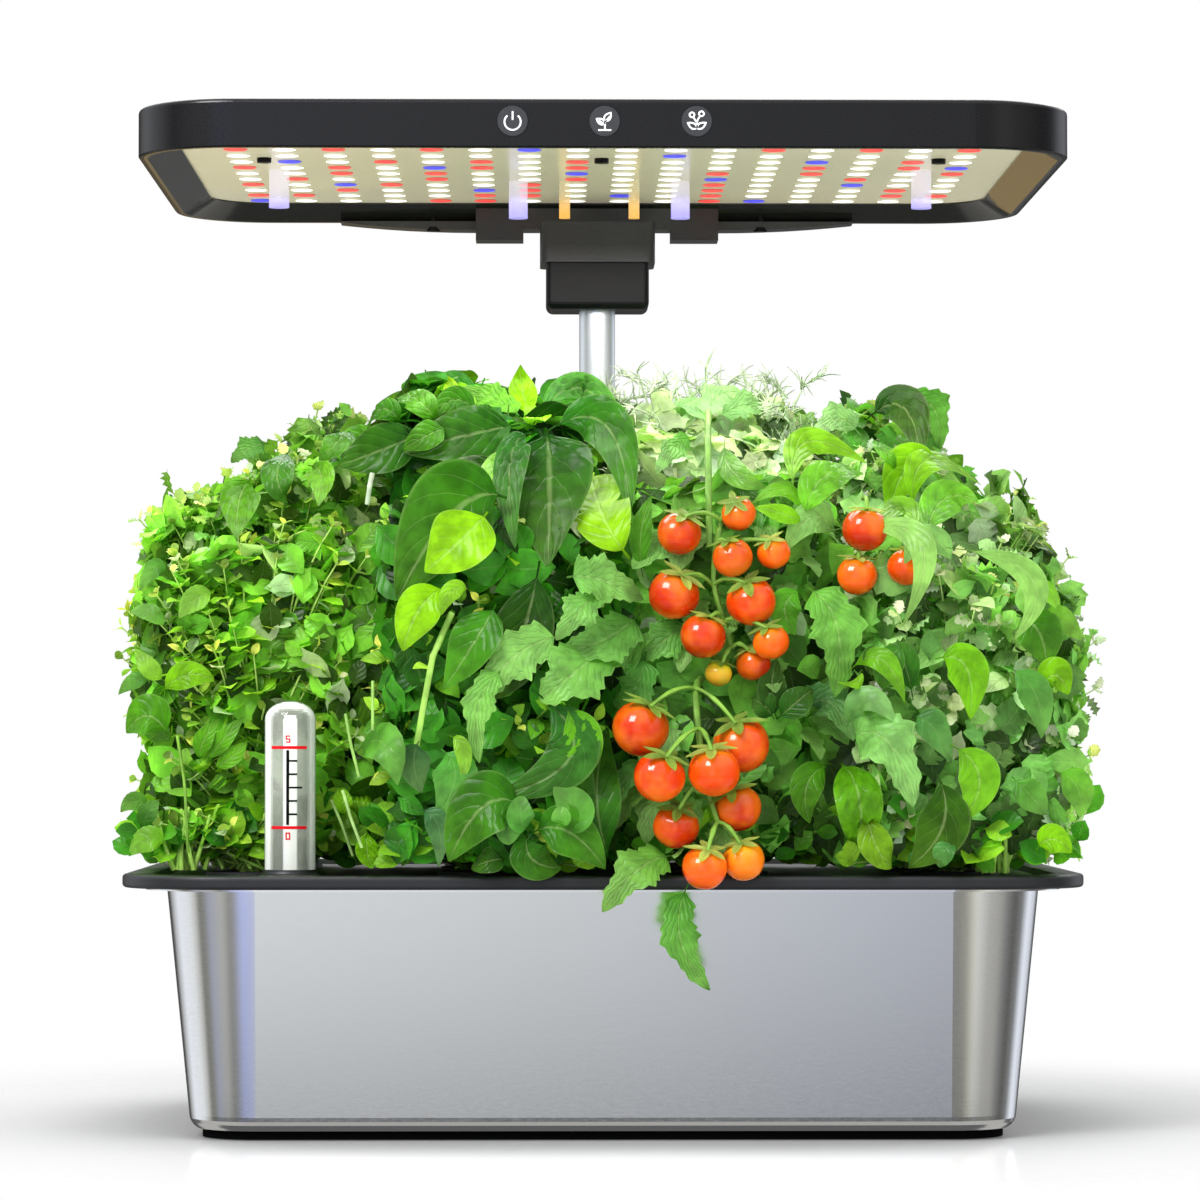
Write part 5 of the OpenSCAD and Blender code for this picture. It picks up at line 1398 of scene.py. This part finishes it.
def star(shape, draw, middle, size, axis, tone):
    """The green star on a fruit."""
    first = unit(np.cross(axis, [0.2, 0.9, 0.1]))
    second = np.cross(axis, first)
    top = middle + axis * size * 0.41
    start = draw.uniform(0, 2)
    for k in range(5):
        a = start + k * 2 * math.pi / 5 + draw.normal(0, 0.12)
        out = first * math.cos(a) + second * math.sin(a)
        reach = size * draw.uniform(0.46, 0.62)
        t = np.linspace(0, 1, 8)[:, None]
        line = top + out * reach * t + axis * size * (0.03 + 0.05 * t - 0.16 * t ** 2 + 0.1 * t ** 4)
        wide = size * 0.1 * np.sin(math.pi * np.clip(t * 0.9 + 0.1, 0, 1)) ** 0.8 + 0.12
        side = np.cross(axis, out)
        s = np.linspace(-1, 1, 5)[None, :, None]
        points = line[:, None] + side * s * wide[:, None] + axis * (np.abs(s) * wide[:, None] * 0.35)
        shape.add(points.reshape(-1, 3), grid_faces(7, 4), linear(tone), grid_place(7, 4), HERB)


def truss(name, stalk, fruit, tones, seed, replaced):
    """One hanging bunch: its stalk, and each tomato on its own jointed stalk."""
    draw = np.random.default_rng(seed)
    shape = Shape()
    line = np.array(stalk, float) + TRUSS_AT
    fine = np.concatenate([arch((line[max(k - 1, 0)] + line[k]) / 2 if k else line[0], line[k],
                                (line[k] + line[min(k + 1, len(line) - 1)]) / 2, 4)
                           for k in range(len(line))])
    keep = np.r_[True, np.linalg.norm(np.diff(fine, axis=0), axis=1) > 0.05]
    fine = fine[keep]
    tube(shape, fine, np.linspace(1.5, 0.9, len(fine)), linear("#6f9c3c"), STEM, sides=8)
    for (x, y, z, size, joint), tone in zip(fruit, tones):
        middle = TRUSS_AT + [x, y, z]
        knot = line[joint]
        axis = unit(unit(knot - middle) * 0.35 + UP * 0.75 + FRONT * 0.5 + draw.normal(0, 0.12, 3))
        ball(shape, draw, middle, size, axis, tone)
        star(shape, draw, middle, size, axis, "#b4c860" if draw.random() < 0.5 else "#8cae48")
        top = middle + axis * size * 0.4
        bow = (top + axis * size * 0.35 + knot) / 2 + UP * 2
        path = arch(top, bow, knot, 8)
        swell = 0.75 + 0.45 * np.exp(-((np.linspace(0, 1, 9) - 0.45) / 0.08) ** 2)
        tube(shape, path, swell, linear("#7fae42"), STEM, sides=6)
    shape.piece(name, TRUSS_FINISHES, "deck", replaced)


def tomatoes_in_leaves():
    """Three fruits that show between the leaves on the right."""
    draw = np.random.default_rng(33)
    shape = Shape()
    for place, size, tone in (((96, -124, 226), 17, RIPE), ((93, -123, 209), 15, ORANGE),
                              ((111, -125, 212), 14, "#e04606")):
        middle = np.array(place, float)
        axis = unit(UP + draw.normal(0, 0.2, 3))
        ball(shape, draw, middle, size, axis, tone)
        star(shape, draw, middle, size, axis, "#b4c860")
        stalk = arch(middle + axis * size * 0.4, middle + axis * size * 0.8,
                     middle - FRONT * 12 + UP * size * 0.7, 6)
        tube(shape, stalk, 0.8, linear("#7fae42"), STEM, sides=6)
    shape.piece("side_tomatoes", TRUSS_FINISHES, "deck")


truss("upper_tomatoes", UPPER_STALK, UPPER_FRUIT, UPPER_TONES, 31, ["upper_truss"])
truss("lower_tomatoes", LOWER_STALK, LOWER_FRUIT, LOWER_TONES, 32, ["lower_truss"])
tomatoes_in_leaves()


# ---- Growing foam ----

PLUG_TOP_R, PLUG_FOOT_R = 13.3, 11.3


def foam_plugs(sides=32, roughness=0.012):
    """A foam plug in each basket, with the hole that its seed went into. Its profile goes from
    the hole's foot over the top and down its side."""
    shape = Shape()
    bottom, top = (corner.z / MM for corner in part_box("sponges"))
    rim, foot = PLUG_TOP_R, PLUG_FOOT_R
    hole = [(1.6, top - 9), (2.2, top - 2), (3.4, top - 0.3), (6.0, top)]
    edge = [(rim - 1.6, top - 0.1), (rim - 0.4, top - 0.8), (rim, top - 2.2)]
    flank = [((rim + foot) / 2, (top + bottom) / 2), (foot, bottom + 1), (foot - 1, bottom),
             (1.0, bottom)]
    profile = hole + edge + flank
    turn = np.linspace(0, 2 * math.pi, sides + 1)
    for k, pod in PODS.items():
        draw = np.random.default_rng(50 + k)
        rings = []
        for radius, z in profile:
            worn = radius * (1 - roughness * draw.random(sides + 1))
            worn[-1] = worn[0]
            rings.append(np.stack([pod[0] + worn * np.cos(turn), pod[1] + worn * np.sin(turn),
                                   np.full(sides + 1, z)], -1))
        shape.add(np.concatenate(rings), grid_faces(len(profile) - 1, sides)[:, ::-1],
                  linear("#3a3a30"), grid_place(len(profile) - 1, sides), 0)
    shape.piece("foam_plugs", ["foam"], "deck", ["sponges"])


foam_plugs()


# ---- Prints on the gauge and the buttons ----

GAUGE_LOW, GAUGE_HIGH = 115.9, 145.6  # the scale's two limits
INK = 0.06  # how far a print stands off
STROKE = 0.5
# A digit's bars as left, right, low and high, from its foot
FIVE = [(-0.9, 0.9, 2.2, 2.7), (-0.9, 0.9, 1.1, 1.6), (-0.9, 0.9, 0, STROKE),
        (-0.9, -0.4, 1.1, 2.7), (0.4, 0.9, 0, 1.6)]
NOUGHT = [(-0.9, 0.9, 2.2, 2.7), (-0.9, 0.9, 0, STROKE), (-0.9, -0.4, 0, 2.7),
          (0.4, 0.9, 0, 2.7)]


def gauge_print():
    """Two red limits, a black scale between them and a plain number at each end."""
    red, black = 0, 1
    shape = Shape()
    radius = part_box("gauge_tube")[1].x / MM - GAUGE[0] + INK

    def patch(left, right, low, high, kind):
        """A print round the tube, left and right of its front by their way along it."""
        steps = max(1, math.ceil((right - left) / 1.5))
        turn = np.linspace(left, right, steps + 1) / radius
        rows = [np.stack([GAUGE[0] + radius * np.sin(turn), GAUGE[1] - radius * np.cos(turn),
                          np.full(steps + 1, z)], -1) for z in (low, high)]
        shape.add(np.concatenate(rows), grid_faces(1, steps), (1, 1, 1), grid_place(1, steps), kind)

    for z in (GAUGE_LOW, GAUGE_HIGH):
        patch(-7.2, 7.2, z - 0.55, z + 0.55, red)
    patch(-0.95, 0.15, GAUGE_LOW + 1, GAUGE_HIGH - 1, black)
    step = (GAUGE_HIGH - GAUGE_LOW) / 6
    for k in range(1, 6):
        z = GAUGE_LOW + k * step
        patch(0.15, 5.2 if k == 3 else 3.2, z - 0.35, z + 0.35, black)
    for bars, foot in ((FIVE, GAUGE_HIGH + 1.8), (NOUGHT, GAUGE_LOW - 4.5)):
        for left, right, low, high in bars:
            patch(left - 0.3, right - 0.3, foot + low, foot + high, red)
    shape.piece("gauge_scale", ["print_red", "print_black"], "gauge")


gauge_print()


def icon(name, body, lines, half_width=0.3, ink=0.04):
    """White lines printed on a button's cap. Points are across and up from its middle."""
    shape = Shape()
    low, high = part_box(body)
    middle = np.array([(low.x + high.x) / 2, low.y, (low.z + high.z) / 2]) / MM - [0, ink, 0]
    for line, closed in lines:
        line = np.array(line, float)
        if closed:
            line = np.concatenate([line, line[:1]])
        ways = np.gradient(line, axis=0)
        if closed:
            ways[0] = ways[-1] = line[1] - line[-2]
        ways /= np.linalg.norm(ways, axis=1, keepdims=True)
        aside = np.stack([-ways[:, 1], ways[:, 0]], -1) * half_width
        flat = np.stack([line + aside, line - aside], 1).reshape(-1, 2)
        points = middle + np.stack([flat[:, 0], np.zeros(len(flat)), flat[:, 1]], -1)
        rows = len(line) - 1
        shape.add(points, grid_faces(rows, 1), (1, 1, 1), grid_place(rows, 1), 0)
    shape.piece(name, ["print_white"], body)


def round_line(x, z, radius, start, end, steps=24):
    """Points along an arc, its ends in degrees."""
    turn = np.radians(np.linspace(start, end, steps + 1))
    return list(zip(x + radius * np.cos(turn), z + radius * np.sin(turn)))


def leaf_line(x, z, length, width, turn):
    """The outline of a small leaf that grows from a point."""
    t = np.linspace(0, 1, 9)
    upper = np.stack([t * length, np.sin(math.pi * t ** 0.8) * width / 2], -1)
    lower = (upper * [1, -1])[::-1][1:-1]
    way = np.array([[math.cos(turn), math.sin(turn)], [-math.sin(turn), math.cos(turn)]])
    return (np.concatenate([upper, lower]) @ way + [x, z]).tolist()


icon("power_mark", "power_button", [
    (round_line(0, -0.3, 3.0, 130, 410), False), ([(0, 0.4), (0, 3.6)], False)])
icon("leaf_mark", "leaf_button", [
    ([(0, -3.2), (0.1, -1.5), (0, 0)], False), (leaf_line(0, 0, 3.9, 2.2, 0.95), True),
    (leaf_line(0, -1, 3.6, 2.0, 2.6), True), ([(-2.4, -3.3), (2.4, -3.3)], False),
    ([(0, -0.6), (1.9, 1.8)], False), ([(-0.4, -1), (-2.2, 0.2)], False)])
icon("fruit_mark", "fruit_button", [
    (leaf_line(0, -2.6, 4.0, 2.0, 0.55), True), (leaf_line(0, -2.6, 4.0, 2.0, 2.6), True),
    ([(0, -2.6), (0.2, 0.4), (1.2, 2.0)], False), ([(0.1, -0.6), (-1.4, 1.6)], False),
    (round_line(-1.8, 2.4, 0.9, 0, 360, 14)[:-1], True),
    (round_line(1.7, 2.8, 0.9, 0, 360, 14)[:-1], True)])


# ---- Camera, light and floor ----

def camera():
    """The camera, level across, that looks a little up."""
    data = bpy.data.cameras.new("camera")
    data.sensor_width = 36
    data.lens = LENS
    data.clip_end = 50
    item = bpy.data.objects.new("camera", data)
    item.location = EYE * MM
    item.rotation_euler = (math.radians(90 + EYE_RISE), 0, math.radians(EYE_TURN))
    bpy.context.scene.collection.objects.link(item)
    bpy.context.scene.camera = item


def softbox(name, place, aim, width, height, power, colour="#ffffff", mirrored=True):
    """A flat light. What shines doesn't mirror it where mirrored is False."""
    data = bpy.data.lights.new(name, "AREA")
    data.shape = "RECTANGLE"
    data.size, data.size_y, data.energy, data.color = width, height, power, linear(colour)
    item = bpy.data.objects.new(name, data)
    item.location = place
    item.rotation_euler = (Vector(aim) - Vector(place)).to_track_quat("-Z", "Y").to_euler()
    item.visible_glossy = mirrored
    bpy.context.scene.collection.objects.link(item)


def floor(size=6.0, fade_at=0.42, drop=0.0003):
    """A white floor that fades into the white room, and isn't there for what mirrors it. Its
    colour and glow carry a painted shadow next to the garden.
    """
    mesh = bpy.data.meshes.new("floor")
    mesh.from_pydata([(-size, -size, 0), (size, -size, 0), (size, size, 0), (-size, size, 0)], [],
                     [(0, 1, 2, 3)])
    material, tree, shader = new_finish(
        "studio_floor", Specular_IOR_Level=0.3, Emission_Strength=0.14)
    place = own_place(tree)
    clouds = noise(tree, place, 3.0)
    white = blend_colours(tree, clouds, linear("#fafbfc"), linear("#ffffff"))
    # Painted shadow: ambient occlusion darkens the floor's colour and glow near the garden.
    near = add(tree, "AmbientOcclusion", {"Distance": 0.09}).outputs["AO"]
    shade = scaled(tree, white, ramp(tree, near, 0.45, 1.0, 0.5, 1.0))
    join(tree, shader, shade, ramp(tree, clouds, 0.0, 1.0, 0.1, 0.16), glow=shade)
    far = multiplied(tree, place, (1 / fade_at, 1 / fade_at, 0.0))
    away = add(tree, "VectorMath", {0: far}, operation="LENGTH").outputs["Value"]
    path = add(tree, "LightPath").outputs
    fade = maths(tree, "MULTIPLY", ramp(tree, away, 0.45, 1.0), path["Is Camera Ray"])
    gone = maths(tree, "MAXIMUM", fade, path["Is Glossy Ray"])
    mixed_surface(tree, gone, shader, add(tree, "BsdfTransparent"))
    mesh.materials.append(material)
    item = bpy.data.objects.new("floor", mesh)
    item.location = (0, 0, -drop)
    bpy.context.scene.collection.objects.link(item)


# The room's walls as metal mirrors them: how far round, from the back by the left, the front
# and the right, and how bright, with a colour
WALLS = [
    (0.0, 0.1, "#fffdf4"), (0.075, 0.06, "#ffffff"), (0.11, 0.45, "#ffffff"), (0.155, 0.95, "#f4f8ff"),
    (0.225, 0.85, "#fbfdff"), (0.257, 0.56, "#fffff8"), (0.275, 0.2, "#fffff0"),
    (0.295, 0.25, "#fffff4"), (0.32, 0.5, "#e6ebff"), (0.368, 0.5, "#fffff8"), (0.397, 0.3, "#fffff6"),
    (0.412, 0.36, "#fbfcff"), (0.438, 0.89, "#cdd5ff"), (0.452, 1.0, "#c4d0ff"), (0.466, 0.91, "#d8dfff"),
    (0.487, 0.94, "#fdffff"), (0.499, 0.8, "#fcffff"), (0.515, 0.68, "#e9eeff"), (0.524, 0.33, "#fdfdff"),
    (0.54, 0.29, "#fffff4"), (0.564, 0.41, "#fffaeb"), (0.592, 0.71, "#fffeee"), (0.606, 0.76, "#fffff8"),
    (0.649, 0.48, "#fffdf8"), (0.695, 0.39, "#fffdf4"), (0.728, 0.21, "#ffffff"), (0.764, 0.11, "#fffff6"),
    (0.805, 0.21, "#ffffff"), (0.85, 1.0, "#f0f5ff"), (0.9, 0.7, "#f0f5ff"), (0.935, 0.06, "#ffffff"),
    (0.985, 0.13, "#ffffff")]


CEILING = (1.0, 1.0, 1.02)
DARK_FLOOR, PALE_FLOOR = (0.12, 0.12, 0.12), (0.46, 0.45, 0.43)
AMBER_CARD = (0.52, 0.38, 0.18)
EVEN_LIGHT = (0.9, 0.9, 0.9)


def studio():
    """A white room: even to the eye and to what is dull, with bright and dark walls for what
    shines. Heights are the Z of a way out, -1 straight down and 1 straight up."""
    world = bpy.data.worlds.new("studio")
    bpy.context.scene.world = world
    world.use_nodes = True
    tree = world.node_tree
    tree.nodes.clear()
    way = add(tree, "SeparateXYZ", {0: add(tree, "TexCoord").outputs["Generated"]}).outputs
    turn = maths(tree, "ARCTAN2", way["X"], maths(tree, "MULTIPLY", way["Y"], -1.0))
    share = maths(tree, "MULTIPLY_ADD", turn, 1 / (2 * math.pi), 0.5)
    walls = add(tree, "ValToRGB", {"Fac": share})
    bands = walls.color_ramp
    while len(bands.elements) < len(WALLS):
        bands.elements.new(1.0)
    for element, (at, value, colour) in zip(bands.elements, WALLS):
        element.position = at
        element.color = [value * part for part in linear(colour)] + [1]
    room = blend_colours(tree, ramp(tree, way["Z"], 0.2, 0.6), walls.outputs["Color"], CEILING)
    lower = ramp(tree, way["Z"], -0.235, -0.315, 1.0, 0.18)
    walls_low = scaled(tree, room, lower)
    streak = blend_colours(tree, window(tree, way["Z"], -0.82, -0.4, 0.05), DARK_FLOOR, PALE_FLOOR)
    foot = blend_colours(tree, ramp(tree, way["Z"], -0.29, -0.33), walls_low, streak)
    amber = maths(tree, "MULTIPLY", window(tree, share, 0.002, 0.02, 0.004),
                  window(tree, way["Z"], -0.21, -0.11, 0.02))
    warm = blend_colours(tree, amber, foot, AMBER_CARD)
    path = add(tree, "LightPath").outputs
    even = blend_colours(tree, path["Is Diffuse Ray"], warm, EVEN_LIGHT)
    seen = add(tree, "Background", {"Color": (*WHITE, 1), "Strength": 1.0})
    lit = add(tree, "Background", {"Color": even, "Strength": 1.0})
    both = add(tree, "MixShader", {0: path["Is Camera Ray"], 1: lit.outputs[0], 2: seen.outputs[0]})
    end = add(tree, "OutputWorld")
    tree.links.new(both.outputs[0], end.inputs["Surface"])


bpy.context.scene.view_settings.view_transform = "Standard"
camera()
floor()
studio()
MIDDLE = (0, 0, 0.2)
softbox("key", (-0.9, -1.3, 1.5), MIDDLE, 0.9, 0.9, 41)
softbox("fill", (1.2, -1.1, 0.8), MIDDLE, 0.8, 1.2, 7, mirrored=False)
softbox("back", (0.2, 1.3, 1.3), MIDDLE, 1.6, 0.8, 14)
softbox("lamp_glow", (0, -0.03, 0.355), (0, -0.03, 0), 0.24, 0.12, 0.45, "#fffaf8")
